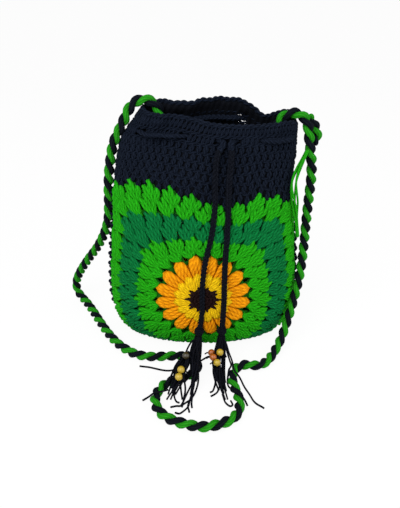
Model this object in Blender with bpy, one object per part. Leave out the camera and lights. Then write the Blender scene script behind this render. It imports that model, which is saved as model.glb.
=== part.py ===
# Crochet drawstring bucket bag, standing on its base with its rope strap on the floor.
#
# Two large sunflower squares are the front and the back. Each is worked in rounds
# of its own yarn colour: flower centre, yellow, orange petals, then three bands of
# green clusters with open spaces between them. A joining seam runs down one side,
# under the base and up the other. A gathered dark band closes the top, and a
# drawstring runs through its eyelets and ends in two beaded tassels.
# The bag faces -Y and rests on z = 0.

import math

import bmesh
import bpy
import numpy as np
from mathutils import Vector, geometry
from mathutils.bvhtree import BVHTree

# Fabric and fits
WALL = 0.004
GAP = 0.0003
SEAM_WIDTH = 0.006

# Body: heights, half widths (along X) and half depths (along Y) going up the bag
BASE_SEAM_HALF_WIDTH = 0.084
BASE_HALF_WIDTH = 0.107
BASE_HALF_DEPTH = 0.044
TURN_HEIGHT = 0.022
TURN_HALF_WIDTH = 0.121
TURN_HALF_DEPTH = 0.061
LOW_HEIGHT = 0.055
LOW_HALF_WIDTH = 0.1265
LOW_HALF_DEPTH = 0.066
BELLY_HEIGHT = 0.100
BELLY_HALF_WIDTH = 0.124
BELLY_HALF_DEPTH = 0.065
WAIST_HEIGHT = 0.160
WAIST_HALF_WIDTH = 0.117
WAIST_HALF_DEPTH = 0.057
SHOULDER_HEIGHT = 0.214
SHOULDER_HALF_WIDTH = 0.112
SHOULDER_HALF_DEPTH = 0.047
NECK_HEIGHT = 0.275
NECK_HALF_WIDTH = 0.106
NECK_HALF_DEPTH = 0.036
RIM_HEIGHT = 0.314
RIM_HALF_WIDTH = 0.0915
RIM_HALF_DEPTH = 0.027

# How the mouth leans, tilts and half closes on its left
NECK_LEAN = 0.006
RIM_LEAN = 0.0195
RIM_TILT_SIDE = 0.005
RIM_TILT_BACK = 0.008
RIM_DIP = 0.015
RIM_SADDLE = 0.009
PINCH = 0.85
# Places (-1 left to 1 right) and spreads of the pinch, the dip and the saddle
PINCH_PLACE = -0.5
PINCH_SPREAD = 0.3
DIP_PLACE = 0.62
DIP_SPREAD = 0.2
SADDLE_SPREAD = 0.3

# Sunflower; a petal's outline has a point at each share of its width
FLOWER_HEIGHT = 0.0905
POINTED_SHARES = (0.0, 0.5)
BLUNT_SHARES = (0.0, 0.3, 0.7)
PETALS = 16
CENTRE_RADIUS = 0.0130
YELLOW_RADIUS = 0.0335
FLOWER_RADIUS = 0.061
PETAL_NOTCH = 0.006
PETAL_PUFF = 0.0015
CENTRE_PUFF = 0.001

# Green rounds: clusters along each side of the square at the outer edge of each
# colour, the spaces along each side in its middle, and their sizes
CLUSTERS = (6, 8, 10)
SPACES = (4, 6, 8)
SPACE_HALF_WIDTH = 0.0026
SPACE_HALF_HEIGHT = 0.0032
CLUSTER_RISE = 0.0025
TOP_RISE = 0.006
# Rise of the square's upper border from the left seam to the right one, as the bag sags
BORDER_PLACES = (-1.0, -0.9, -0.7, -0.5, -0.3, -0.1, 0.1, 0.3, 0.5, 0.7, 0.9, 1.0)
BORDER_LIFTS = (0.010, 0.015, 0.024, 0.026, 0.021, 0.013, 0.004, 0.000, 0.010, 0.004, -0.011,
                -0.015)

# Top band
BAND_CELLS = 40
FOLD_DEPTH = 0.0022
EYELET_DROP = 0.014
EYELET_TALL = 0.011
EYELET_CELLS = 4
FRONT_EYELET_CELLS = 5
FRONT_EYELET = 20
CLUSTER_CELLS = BAND_CELLS // CLUSTERS[-1]
EYELETS = (28, 35, 45, 53, 67, 76, 85, 94)

# Cords, beads and tassels
CORD_DIAMETER = 0.006
ROPE_DIAMETER = 0.013
TAIL_DIAMETER = 0.005
BEAD_DIAMETER = 0.0092
BEAD_BORE = 0.0024
BEAD_SIDES = 10
BEAD_STEPS = 5
TASSEL_KNOT_DIAMETER = 0.012
STRAP_KNOT_DIAMETER = 0.017
BALL_SIDES = 8
BALL_RINGS = 5
# Distance between the points of a cord's tube, as a share of its diameter
DRAWSTRING_SPACING = 2.5
ROPE_SPACING = 2.0
# Room between the drawstring and the band, outside and inside
CORD_LIFT = 0.0020
CORD_SINK = 0.0018

# Height that beads are lowered from onto their bundles
DROP_HEIGHT = 0.080

# Routes in metres, chosen by hand
LEFT_END_ROUTE = (
    (-0.0040, -0.0754, 0.0480), (-0.0020, -0.0747, 0.0620), (-0.0010, -0.0740, 0.0800),
    (-0.0010, -0.0734, 0.0980), (0.0000, -0.0710, 0.1250), (0.0035, -0.0668, 0.1500),
    (0.0100, -0.0607, 0.1790), (0.0130, -0.0558, 0.2030), (0.0140, -0.0512, 0.2280),
    (0.0140, -0.0468, 0.2520), (0.0150, -0.0435, 0.2700), (0.0180, -0.0415, 0.2820),
)
RIGHT_END_ROUTE = (
    (0.0320, -0.0410, 0.2820), (0.0320, -0.0430, 0.2700), (0.0305, -0.0460, 0.2520),
    (0.0300, -0.0502, 0.2280), (0.0300, -0.0546, 0.2030), (0.0290, -0.0594, 0.1790),
    (0.0275, -0.0652, 0.1500), (0.0270, -0.0697, 0.1250), (0.0270, -0.0720, 0.0980),
    (0.0268, -0.0730, 0.0800), (0.0262, -0.0736, 0.0620), (0.0255, -0.0742, 0.0480),
)
STRAP_ROUTE = (
    (-0.0490, 0.0000, 0.2940), (-0.0495, 0.0000, 0.3060), (-0.0530, 0.0000, 0.3180),
    (-0.0600, 0.0000, 0.3255), (-0.0690, 0.0000, 0.3280), (-0.0780, -0.0005, 0.3255),
    (-0.0855, -0.0015, 0.3185), (-0.0910, -0.0020, 0.3085), (-0.0975, -0.0020, 0.2960),
    (-0.1070, -0.0020, 0.2780), (-0.1125, -0.0010, 0.2600), (-0.1172, -0.0010, 0.2370),
    (-0.1200, 0.0000, 0.2140), (-0.1220, 0.0010, 0.1920), (-0.1250, 0.0030, 0.1700),
    (-0.1330, 0.0090, 0.1450), (-0.1480, 0.0200, 0.1150), (-0.1690, 0.0340, 0.0820),
    (-0.1870, 0.0480, 0.0500), (-0.1960, 0.0570, 0.0260), (-0.1950, 0.0550, 0.0115),
    (-0.1870, 0.0450, 0.0068), (-0.1770, 0.0310, 0.0068), (-0.1650, 0.0120, 0.0068),
    (-0.1510, -0.0120, 0.0068), (-0.1350, -0.0380, 0.0068), (-0.1190, -0.0590, 0.0068),
    (-0.1050, -0.0720, 0.0068), (-0.0890, -0.0820, 0.0068), (-0.0690, -0.0860, 0.0068),
    (-0.0470, -0.0850, 0.0068), (-0.0280, -0.0850, 0.0068), (-0.0130, -0.0910, 0.0068),
    (-0.0070, -0.1040, 0.0068), (-0.0130, -0.1170, 0.0068), (-0.0280, -0.1250, 0.0068),
    (-0.0450, -0.1330, 0.0068), (-0.0550, -0.1450, 0.0068), (-0.0590, -0.1600, 0.0068),
    (-0.0540, -0.1770, 0.0068), (-0.0400, -0.1900, 0.0068), (-0.0200, -0.1980, 0.0068),
    (0.0000, -0.2015, 0.0068), (0.0180, -0.1980, 0.0068), (0.0340, -0.1900, 0.0068),
    (0.0430, -0.1770, 0.0068), (0.0440, -0.1600, 0.0068), (0.0400, -0.1420, 0.0068),
    (0.0375, -0.1250, 0.0068), (0.0425, -0.1090, 0.0068), (0.0545, -0.1015, 0.0068),
    (0.0665, -0.1025, 0.0068), (0.0770, -0.1010, 0.0068), (0.0860, -0.0935, 0.0068),
    (0.0950, -0.0810, 0.0075), (0.1070, -0.0620, 0.0150), (0.1170, -0.0450, 0.0350),
    (0.1260, -0.0300, 0.0620), (0.1330, -0.0170, 0.0950), (0.1355, -0.0080, 0.1300),
    (0.1355, -0.0040, 0.1650), (0.1355, -0.0020, 0.1980), (0.1355, -0.0020, 0.2270),
    (0.1340, -0.0020, 0.2470), (0.1310, -0.0020, 0.2640), (0.1280, -0.0020, 0.2780),
    (0.1260, -0.0015, 0.2890), (0.1235, -0.0010, 0.2990), (0.1185, -0.0005, 0.3070),
    (0.1110, 0.0000, 0.3115), (0.1005, 0.0000, 0.3110), (0.0915, 0.0000, 0.3045),
    (0.0870, 0.0000, 0.2940), (0.0858, 0.0000, 0.2820),
)
STRAP_END_ROUTE = (
    (0.1252, 0.0105, 0.3042), (0.1315, 0.0110, 0.2975), (0.1378, 0.0118, 0.2870),
    (0.1390, 0.0120, 0.2780), (0.1370, 0.0120, 0.2700),
)
TAIL_ROUTE = (
    (0.1250, -0.0084, 0.2690), (0.1190, -0.0155, 0.2585), (0.1130, -0.0210, 0.2460),
    (0.1105, -0.0230, 0.2340), (0.1120, -0.0225, 0.2190), (0.1150, -0.0210, 0.2040),
    (0.1175, -0.0195, 0.1890), (0.1205, -0.0180, 0.1720), (0.1235, -0.0170, 0.1540),
)
# Tassel bundles: points and radii along each
TASSEL_LEFT = (
    ((-0.0056, -0.0778, 0.0358), 0.0038), ((-0.0078, -0.0830, 0.0275), 0.0058),
    ((-0.0095, -0.0930, 0.0222), 0.0072), ((-0.0100, -0.1080, 0.0216), 0.0077),
    ((-0.0105, -0.1210, 0.0208), 0.0066), ((-0.0120, -0.1340, 0.0155), 0.0050),
    ((-0.0140, -0.1460, 0.0075), 0.0035), ((-0.0150, -0.1530, 0.0030), 0.0022),
)
TASSEL_LEFT_SIDE = (
    ((-0.0197, -0.0970, 0.0222), 0.0032), ((-0.0235, -0.1100, 0.0215), 0.0053),
    ((-0.0285, -0.1240, 0.0210), 0.0062), ((-0.0330, -0.1400, 0.0195), 0.0058),
    ((-0.0390, -0.1530, 0.0125), 0.0045), ((-0.0430, -0.1600, 0.0055), 0.0030),
)
TASSEL_RIGHT = (
    ((0.0250, -0.0765, 0.0358), 0.0038), ((0.0238, -0.0800, 0.0235), 0.0055),
    ((0.0220, -0.0880, 0.0130), 0.0066), ((0.0205, -0.1010, 0.0084), 0.0075),
    ((0.0200, -0.1160, 0.0080), 0.0077), ((0.0215, -0.1310, 0.0065), 0.0063),
    ((0.0255, -0.1460, 0.0045), 0.0043), ((0.0290, -0.1580, 0.0025), 0.0022),
)
# Beads: name, the bundle each lies on, place over it in X and Y, and colour
BEADS = (
    ("bead_left_upper", "tassel_left_side", -0.0275, -0.1335, "yellow"),
    ("bead_left_lower", "tassel_left_side", -0.0300, -0.1440, "yellow"),
    ("bead_left_dark", "tassel_left_side", -0.0218, -0.1100, "brown"),
    ("bead_right_upper", "tassel_right", 0.0115, -0.0880, "brown"),
    ("bead_right_middle", "tassel_right", 0.0135, -0.0995, "brown"),
    ("bead_right_lower", "tassel_right", 0.0182, -0.1112, "yellow"),
    ("bead_right_side", "tassel_right", 0.0225, -0.0945, "yellow"),
)

# Yarn and wood: base colour, roughness
FINISH = {
    "bright_green": ((0.03, 0.42, 0.02), 0.85),
    "teal_green": ((0.005, 0.24, 0.08), 0.85),
    "navy": ((0.012, 0.018, 0.035), 0.85),
    "orange": ((0.95, 0.30, 0.01), 0.85),
    "yellow": ((0.85, 0.52, 0.02), 0.85),
    "brown": ((0.035, 0.012, 0.008), 0.85),
    "bead_yellow": ((0.65, 0.45, 0.08), 0.35),
    "bead_brown": ((0.45, 0.12, 0.03), 0.35),
}

SEAM_HALF = SEAM_WIDTH / 2



# Curves and tables

def smooth(knots, values, x):
    """Monotone cubic through the values, level where they stop rising or falling."""
    knots, values = np.asarray(knots, float), np.asarray(values, float)
    step = np.diff(knots)
    slope = np.diff(values) / step
    tangent = np.zeros(len(knots))
    same = slope[:-1] * slope[1:] > 0
    total = np.where(same, slope[:-1] + slope[1:], 1.0)
    tangent[1:-1] = np.where(same, 2 * slope[:-1] * slope[1:] / total, 0)
    tangent[0], tangent[-1] = slope[0], slope[-1]
    i = np.clip(np.searchsorted(knots, x, side="right") - 1, 0, len(knots) - 2)
    t = (x - knots[i]) / step[i]
    start = values[i] * (1 + 2 * t) * (1 - t) ** 2 + tangent[i] * step[i] * t * (1 - t) ** 2
    end = values[i + 1] * t * t * (3 - 2 * t) + tangent[i + 1] * step[i] * t * t * (t - 1)
    return start + end


def route_points(route, spacing, start=0.0, end=None):
    """Evenly spaced points on a smooth curve through a hand-chosen route."""
    points = [Vector(p) for p in route]
    points = [2 * points[0] - points[1]] + points + [2 * points[-1] - points[-2]]
    fine = []
    for a, b, c, d in zip(points, points[1:], points[2:], points[3:]):
        for k in range(12):
            t = k / 12
            fine.append(0.5 * (2 * b + t * (c - a) + t * t * (2 * a - 5 * b + 4 * c - d)
                               + t ** 3 * (3 * b - a - 3 * c + d)))
    fine.append(points[-2])
    fine = np.array(fine)
    along = np.r_[0, np.cumsum(np.linalg.norm(np.diff(fine, axis=0), axis=1))]
    end = along[-1] if end is None else end
    count = max(2, round((end - start) / spacing))
    places = np.linspace(start, end, count + 1)
    return np.stack([np.interp(places, along, fine[:, k]) for k in range(3)], axis=1), along[-1]


# Sections from the base seam up the front to the rim
HEIGHTS = (0, 0, TURN_HEIGHT, LOW_HEIGHT, BELLY_HEIGHT, WAIST_HEIGHT, SHOULDER_HEIGHT,
           NECK_HEIGHT, RIM_HEIGHT)
HALF_DEPTHS = (0, BASE_HALF_DEPTH, TURN_HALF_DEPTH, LOW_HALF_DEPTH, BELLY_HALF_DEPTH,
               WAIST_HALF_DEPTH, SHOULDER_HALF_DEPTH, NECK_HALF_DEPTH, RIM_HALF_DEPTH)
HALF_WIDTHS = (BASE_SEAM_HALF_WIDTH, BASE_HALF_WIDTH, TURN_HALF_WIDTH, LOW_HALF_WIDTH,
               BELLY_HALF_WIDTH, WAIST_HALF_WIDTH, SHOULDER_HALF_WIDTH, NECK_HALF_WIDTH,
               RIM_HALF_WIDTH)
LEANS = (0, 0, 0, 0, 0, 0, 0, NECK_LEAN, RIM_LEAN)

chords = np.hypot(np.diff(HEIGHTS), np.diff(HALF_DEPTHS))
knots = np.r_[0, np.cumsum(chords)]
fine_knots = np.linspace(0, knots[-1], 600)
height_table = smooth(knots, HEIGHTS, fine_knots)
depth_table = smooth(knots, HALF_DEPTHS, fine_knots)
width_table = smooth(knots, HALF_WIDTHS, fine_knots)
lean_table = smooth(knots, LEANS, fine_knots)
length_table = np.r_[0, np.cumsum(np.hypot(np.diff(height_table), np.diff(depth_table)))]

wall_part = length_table > BASE_HALF_DEPTH
FLOWER_LENGTH = float(np.interp(FLOWER_HEIGHT, height_table[wall_part], length_table[wall_part]))
SHOULDER_LENGTH = float(np.interp(SHOULDER_HEIGHT, height_table[wall_part],
                                  length_table[wall_part]))
RIM_LENGTH = float(length_table[-1])

# Angle round the oval at even distances along it, at the flower's height
angles = np.linspace(-math.pi / 2, math.pi / 2, 400)
oval_x = BELLY_HALF_WIDTH * np.sin(angles)
oval_y = BELLY_HALF_DEPTH * np.cos(angles)
oval_length = np.r_[0, np.cumsum(np.hypot(np.diff(oval_x), np.diff(oval_y)))]
HALF_SPAN = float(oval_length[-1]) / 2
across_table = oval_length / HALF_SPAN - 1


def bag_surface(across, length, side):
    """Outside of the bag: across runs -1 to 1 seam to seam, length up from the base seam."""
    angle = np.interp(across, across_table, angles)
    height, depth, width, lean = (np.interp(length, length_table, table) for table in
                                  (height_table, depth_table, width_table, lean_table))
    top = np.clip((length - SHOULDER_LENGTH) / (RIM_LENGTH - SHOULDER_LENGTH), 0, 1) ** 2
    pinch = PINCH * top * np.exp(-((np.sin(angle) - PINCH_PLACE) / PINCH_SPREAD) ** 2)
    dip = RIM_DIP * np.exp(-((np.sin(angle) - DIP_PLACE) / DIP_SPREAD) ** 2) * (side > 0)
    x = lean + width * np.sin(angle)
    y = side * (SEAM_HALF + depth * (1 - pinch) * np.cos(angle))
    saddle = RIM_SADDLE * np.exp(-(np.cos(angle) / SADDLE_SPREAD) ** 2) * (angle > 0)
    tilt = side * RIM_TILT_BACK * np.cos(angle) - RIM_TILT_SIDE * np.sin(angle) - dip - saddle
    return np.stack([x, y, height + top * tilt], axis=-1)


def bag_point(across, length, side, outward=0.0):
    """Point at a distance outward from the bag's outside."""
    across, length = np.asarray(across, float), np.asarray(length, float)
    step = 0.002
    left, right = np.clip(across - step, -1, 1), np.clip(across + step, -1, 1)
    low = np.clip(length - step, 0.0, RIM_LENGTH)
    near = np.clip(length, step, RIM_LENGTH)
    high = np.clip(near + step, 0, RIM_LENGTH)
    along_x = bag_surface(right, near, side) - bag_surface(left, near, side)
    along_z = bag_surface(across, high, side) - bag_surface(across, low, side)
    normal = np.cross(along_x, along_z) * -side
    normal /= np.linalg.norm(normal, axis=-1, keepdims=True)
    return bag_surface(across, length, side) + normal * np.asarray(outward)[..., None]


# Objects

def material(name):
    made = bpy.data.materials.get(name)
    if made is None:
        made = bpy.data.materials.new(name)
        made.use_nodes = True
        shader = made.node_tree.nodes["Principled BSDF"]
        colour, roughness = FINISH[name]
        shader.inputs["Base Color"].default_value = (*colour, 1)
        shader.inputs["Roughness"].default_value = roughness
        shader.inputs["Metallic"].default_value = 0
        made.diffuse_color = (*colour, 1)
    return made


def add_mesh(name, vertices, faces, finish):
    mesh = bpy.data.meshes.new(name)
    mesh.from_pydata([tuple(v) for v in vertices], [], [tuple(f) for f in faces])
    work = bmesh.new()
    work.from_mesh(mesh)
    bmesh.ops.triangulate(work, faces=work.faces)
    bmesh.ops.recalc_face_normals(work, faces=work.faces)
    work.to_mesh(mesh)
    work.free()
    mesh.shade_smooth()
    mesh.set_sharp_from_angle(angle=math.radians(40))
    mesh.materials.append(material(finish))
    thing = bpy.data.objects.new(name, mesh)
    bpy.context.scene.collection.objects.link(thing)
    return thing


def add_tube(name, points, radii, finish):
    """Closed tube along points, as a bevelled curve with filled caps."""
    curve = bpy.data.curves.new(name, "CURVE")
    curve.dimensions = "3D"
    curve.bevel_depth = 1.0
    curve.bevel_resolution = 2
    curve.use_fill_caps = True
    spline = curve.splines.new("POLY")
    spline.points.add(len(points) - 1)
    for spot, point, radius in zip(spline.points, points, radii):
        spot.co = (*point, 1)
        spot.radius = radius
    curve.materials.append(material(finish))
    thing = bpy.data.objects.new(name, curve)
    bpy.context.scene.collection.objects.link(thing)
    return thing


# Squares: every outline is a loop of (distance right, distance up) from the flower centre

UP = SHOULDER_LENGTH - FLOWER_LENGTH
DOWN = FLOWER_LENGTH


def square_place(turn, growth):
    """Place on a round: turn counts quarter sides, growth runs 0 at the flower to 1 at the edge."""
    quarter = np.floor(turn).astype(int) % 4
    along = turn - np.floor(turn)
    edge = 2 * along - 1
    flat_x = np.choose(quarter, [np.ones_like(edge), -edge, -np.ones_like(edge), edge])
    flat_y = np.choose(quarter, [edge, np.ones_like(edge), -edge, -np.ones_like(edge)])
    angle = (turn - 0.5) * math.pi / 2
    reach_y = np.where(flat_y > 0, UP, DOWN)
    x = (1 - growth) * FLOWER_RADIUS * np.cos(angle) + growth * HALF_SPAN * flat_x
    y = (1 - growth) * FLOWER_RADIUS * np.sin(angle) + growth * reach_y * flat_y
    above = np.clip((y - FLOWER_RADIUS) / (UP - FLOWER_RADIUS), 0, 1)
    return np.stack([x, y + above * border_lift(x / HALF_SPAN)], axis=1)


def border_lift(across):
    """Rise of the border between the square and the top band."""
    return np.interp(across, BORDER_PLACES, BORDER_LIFTS)


def top_wave(cell):
    """Rise of the top row of clusters at a cell, from -1 between clusters to 1 on their tips."""
    share = cell % CLUSTER_CELLS / CLUSTER_CELLS
    return 1 - 2 * np.abs(2 * share - 1)


def cluster_edge(index, inset):
    """Outer edge of green band number index, pulled in by inset; 0 is the first band."""
    count = CLUSTERS[index] * 4
    if index < 2:
        turn = np.arange(2 * count) / (2 * count) * 4
        peak = np.arange(2 * count) % 2 == 1
        rise = np.where(peak, CLUSTER_RISE, -CLUSTER_RISE) - inset
        return square_place(turn, (index + 1) / 3 + rise / (UP - FLOWER_RADIUS))
    plain = np.arange(count // 2) / (count // 2)
    top = np.arange(BAND_CELLS) / BAND_CELLS
    turn = np.concatenate([plain, 1 + top, 2 + plain, 3 + plain])
    loop = square_place(turn, np.ones(len(turn)))
    on_top = (turn >= 1) & (turn <= 2)
    cells = (2 - turn[on_top]) * BAND_CELLS
    loop[on_top, 1] += top_wave(cells) * TOP_RISE - inset
    return loop


def petal_edge(radius, shares, inset=0.0):
    """Scalloped round: a notch at the start of each petal and full reach at its other shares."""
    loop = []
    for petal in range(PETALS):
        for share in shares:
            angle = (petal + share) * 2 * math.pi / PETALS
            reach = radius - inset - (PETAL_NOTCH if share == 0 else 0)
            loop.append((reach * math.cos(angle), reach * math.sin(angle)))
    return np.array(loop)


def spaces(index):
    """Open diamonds between the clusters in the middle of a green band."""
    count = SPACES[index] * 4
    middle = square_place(np.arange(count) / count * 4, np.full(count, (index + 0.5) / 3))
    loops = []
    for x, y in middle:
        loops.append(np.array([(x + SPACE_HALF_WIDTH, y), (x, y + SPACE_HALF_HEIGHT),
                               (x - SPACE_HALF_WIDTH, y), (x, y - SPACE_HALF_HEIGHT)]))
    return loops


def inside(points, loop):
    """Which points lie inside a closed loop."""
    hit = np.zeros(len(points), bool)
    for (ax, ay), (bx, by) in zip(loop, np.roll(loop, -1, axis=0)):
        crosses = (ay > points[:, 1]) != (by > points[:, 1])
        level = np.where(crosses, (points[:, 1] - ay) / (by - ay if by != ay else 1), 0)
        hit ^= crosses & (points[:, 0] < ax + level * (bx - ax))
    return hit


def add_round(name, side, outer, holes, finish, inner_points=(), puff=0.0):
    """One yarn colour: a flat outline with holes, laid on the bag and given its thickness."""
    loops = [outer] + list(holes)
    flat = np.concatenate(loops + ([np.array(inner_points)] if len(inner_points) else []))
    edges, first = [], 0
    for loop in loops:
        ring = [(first + k, first + (k + 1) % len(loop)) for k in range(len(loop))]
        edges += ring
        first += len(loop)
    placed, _, triangles, *_ = geometry.delaunay_2d_cdt(
        [Vector(p) * 1000 for p in flat], edges, [], 0, 1e-5)
    placed = np.array([tuple(p) for p in placed]) / 1000
    triangles = np.array(triangles)
    centres = placed[triangles].mean(axis=1)
    keep = inside(centres, outer)
    for hole in holes:
        keep &= ~inside(centres, hole)
    triangles = triangles[keep]
    raised = np.zeros(len(placed))
    for x, y in inner_points:
        raised[np.hypot(placed[:, 0] - x, placed[:, 1] - y) < 1e-6] = puff
    across = np.clip(placed[:, 0] / HALF_SPAN, -1, 1)
    length = FLOWER_LENGTH + placed[:, 1]
    outside = bag_point(across, length, side, raised)
    lining = bag_point(across, length, side, -WALL)
    count = len(placed)
    faces = [tuple(t) for t in triangles] + [tuple(t[::-1] + count) for t in triangles]
    borders = {}
    for a, b, c in triangles:
        for pair in ((a, b), (b, c), (c, a)):
            borders[tuple(sorted(pair))] = borders.get(tuple(sorted(pair)), []) + [pair]
    for pairs in borders.values():
        if len(pairs) == 1:
            a, b = pairs[0]
            faces.append((b, a, a + count, b + count))
    used = sorted({v for face in faces for v in face})
    renumber = {v: k for k, v in enumerate(used)}
    vertices = np.concatenate([outside, lining])[used]
    return add_mesh(name, vertices, [[renumber[v] for v in face] for face in faces], finish)


def ring_of(radius, count, shift=0.0):
    return np.array([(radius * math.cos((k + shift) * 2 * math.pi / count),
                      radius * math.sin((k + shift) * 2 * math.pi / count))
                     for k in range(count)])


def add_square(face, side):
    """The six yarn colours of one sunflower square."""
    add_round(face + "_flower_centre", side, ring_of(CENTRE_RADIUS, PETALS), [], "brown",
              ring_of(CENTRE_RADIUS * 0.5, PETALS // 2), CENTRE_PUFF)
    add_round(face + "_flower_yellow", side, petal_edge(YELLOW_RADIUS, POINTED_SHARES),
              [ring_of(CENTRE_RADIUS + GAP, PETALS)], "yellow")
    petal_middles = ring_of((YELLOW_RADIUS + FLOWER_RADIUS) / 2 + GAP, PETALS, 0.5)
    add_round(face + "_flower_petals", side, petal_edge(FLOWER_RADIUS, BLUNT_SHARES),
              [petal_edge(YELLOW_RADIUS, POINTED_SHARES, -2 * GAP)],
              "orange", petal_middles, PETAL_PUFF)
    inner = petal_edge(FLOWER_RADIUS, BLUNT_SHARES, -1.5 * GAP)
    for index, (name, finish) in enumerate((("inner_green", "bright_green"),
                                            ("teal_green", "teal_green"),
                                            ("outer_green", "bright_green"))):
        outer = cluster_edge(index, GAP if index < 2 else 4 * GAP)
        add_round(face + "_" + name, side, outer, [inner] + spaces(index), finish)
        inner = cluster_edge(index, -GAP)


def add_seam():
    """Joining seam: a strip of fabric thickness down one side, under the base and up."""
    halves = []
    for end in (-1.0, 1.0):
        top = SHOULDER_LENGTH - TOP_RISE - 2 * GAP + border_lift(end)
        lengths = np.r_[np.linspace(top, BASE_HALF_DEPTH, 16),
                        np.linspace(BASE_HALF_DEPTH, 0, 3)[1:]]
        halves.append(bag_surface(np.full(len(lengths), end), lengths, -1)[:, [0, 2]])
    outline = np.concatenate([halves[0], halves[1][::-1]])
    outline = outline[np.r_[True, np.linalg.norm(np.diff(outline, axis=0), axis=1) > 1e-6]]
    travel = np.gradient(outline, axis=0)
    travel /= np.linalg.norm(travel, axis=1, keepdims=True)
    travel[0], travel[-1] = travel[1] * [0, 1], travel[-2] * [0, 1]
    travel[[0, -1]] /= np.linalg.norm(travel[[0, -1]], axis=1, keepdims=True)
    inward = np.stack([-travel[:, 1], travel[:, 0]], axis=1)
    lining = outline + inward * WALL
    half = SEAM_HALF - GAP
    vertices = []
    for edge, y in ((outline, -half), (outline, half), (lining, half), (lining, -half)):
        vertices += [(x, y, z) for x, z in edge]
    count = len(outline)
    faces = [(3 * count, 2 * count, count, 0), (count - 1, 2 * count - 1, 3 * count - 1,
                                                4 * count - 1)]
    for ring in range(4):
        a, b = ring * count, (ring + 1) % 4 * count
        faces += [(a + k, a + k + 1, b + k + 1, b + k) for k in range(count - 1)]
    return add_mesh("joining_seam", vertices, faces, "navy")


# Top band: cells count round from the left seam, across the front, back across the back

ROUND_CELLS = 2 * BAND_CELLS + 2


def band_place(cell, length, outward):
    """Point on the band at a cell count round it."""
    cell = np.asarray(cell, float) % ROUND_CELLS
    front = cell <= BAND_CELLS
    back = (cell >= BAND_CELLS + 1) & (cell <= ROUND_CELLS - 1)
    right = (cell > BAND_CELLS) & (cell < BAND_CELLS + 1)
    across = np.where(front, 2 * cell / BAND_CELLS - 1,
                      1 - 2 * (cell - BAND_CELLS - 1) / BAND_CELLS)
    across = np.where(right, 1, across)
    across = np.where(cell > ROUND_CELLS - 1, -1, across)
    length = np.broadcast_to(length, cell.shape)
    outward = np.broadcast_to(outward, cell.shape)
    at_front = bag_point(across, length, -1, outward)
    at_back = bag_point(across, length, 1, outward)
    share = np.where(right, cell - BAND_CELLS, np.where(front, 0, 1))
    share = np.where(cell > ROUND_CELLS - 1, ROUND_CELLS - cell, share)[..., None]
    return at_front * (1 - share) + at_back * share


def fold(cell, length):
    """Gathers: ripples that deepen towards the drawstring."""
    top = np.clip((length - SHOULDER_LENGTH) / (RIM_LENGTH - SHOULDER_LENGTH), 0, 1)
    cell = np.asarray(cell) % (BAND_CELLS + 1)
    return FOLD_DEPTH * top * (np.cos(cell * math.pi / 2) - 1) / 2


def eyelet_cells():
    """Cells that the eyelets leave open."""
    front = {FRONT_EYELET + k for k in range(FRONT_EYELET_CELLS)}
    return front | {(first + k) % ROUND_CELLS for first in EYELETS for k in range(EYELET_CELLS)}


EYELET_MIDDLE = RIM_LENGTH - EYELET_DROP - EYELET_TALL / 2


def add_band():
    columns = np.arange(ROUND_CELLS)
    place = columns % (BAND_CELLS + 1)
    across = (2 * place / BAND_CELLS - 1) * np.where(columns > BAND_CELLS, -1, 1)
    lower = SHOULDER_LENGTH + top_wave(place) * TOP_RISE + border_lift(across)
    middle = SHOULDER_LENGTH + 0.45 * (RIM_LENGTH - SHOULDER_LENGTH)
    levels = [lower, (lower + middle) / 2, np.full(ROUND_CELLS, middle),
              np.full(ROUND_CELLS, EYELET_MIDDLE - EYELET_TALL / 2),
              np.full(ROUND_CELLS, EYELET_MIDDLE + EYELET_TALL / 2),
              np.full(ROUND_CELLS, RIM_LENGTH)]
    layers = []
    for depth in (0.0, -WALL):
        for level in levels:
            layers.append(band_place(columns, level, fold(columns, level) + depth))
    vertices = np.concatenate(layers)
    rows = len(levels)
    closed = eyelet_cells()

    def spot(layer, row, column):
        return (layer * rows + row) * ROUND_CELLS + column % ROUND_CELLS

    faces = []
    for row in range(rows - 1):
        for column in range(ROUND_CELLS):
            if row == 3 and column in closed:
                continue
            square = [(row, column), (row, column + 1), (row + 1, column + 1), (row + 1, column)]
            faces.append([spot(0, r, c) for r, c in square])
            faces.append([spot(1, r, c) for r, c in reversed(square)])
    for column in range(ROUND_CELLS):
        for row, turned in ((0, False), (rows - 1, True)):
            edge = [spot(0, row, column), spot(1, row, column), spot(1, row, column + 1),
                    spot(0, row, column + 1)]
            faces.append(edge[::-1] if turned else edge)
        if column in closed:
            for row in (3, 4):
                faces.append([spot(0, row, column), spot(0, row, column + 1),
                              spot(1, row, column + 1), spot(1, row, column)])
            for edge, beside in ((column, column - 1), (column + 1, column + 1)):
                if beside % ROUND_CELLS not in closed:
                    faces.append([spot(0, 3, edge), spot(0, 4, edge), spot(1, 4, edge),
                                  spot(1, 3, edge)])
    return add_mesh("top_band", vertices, faces, "navy")


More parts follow.
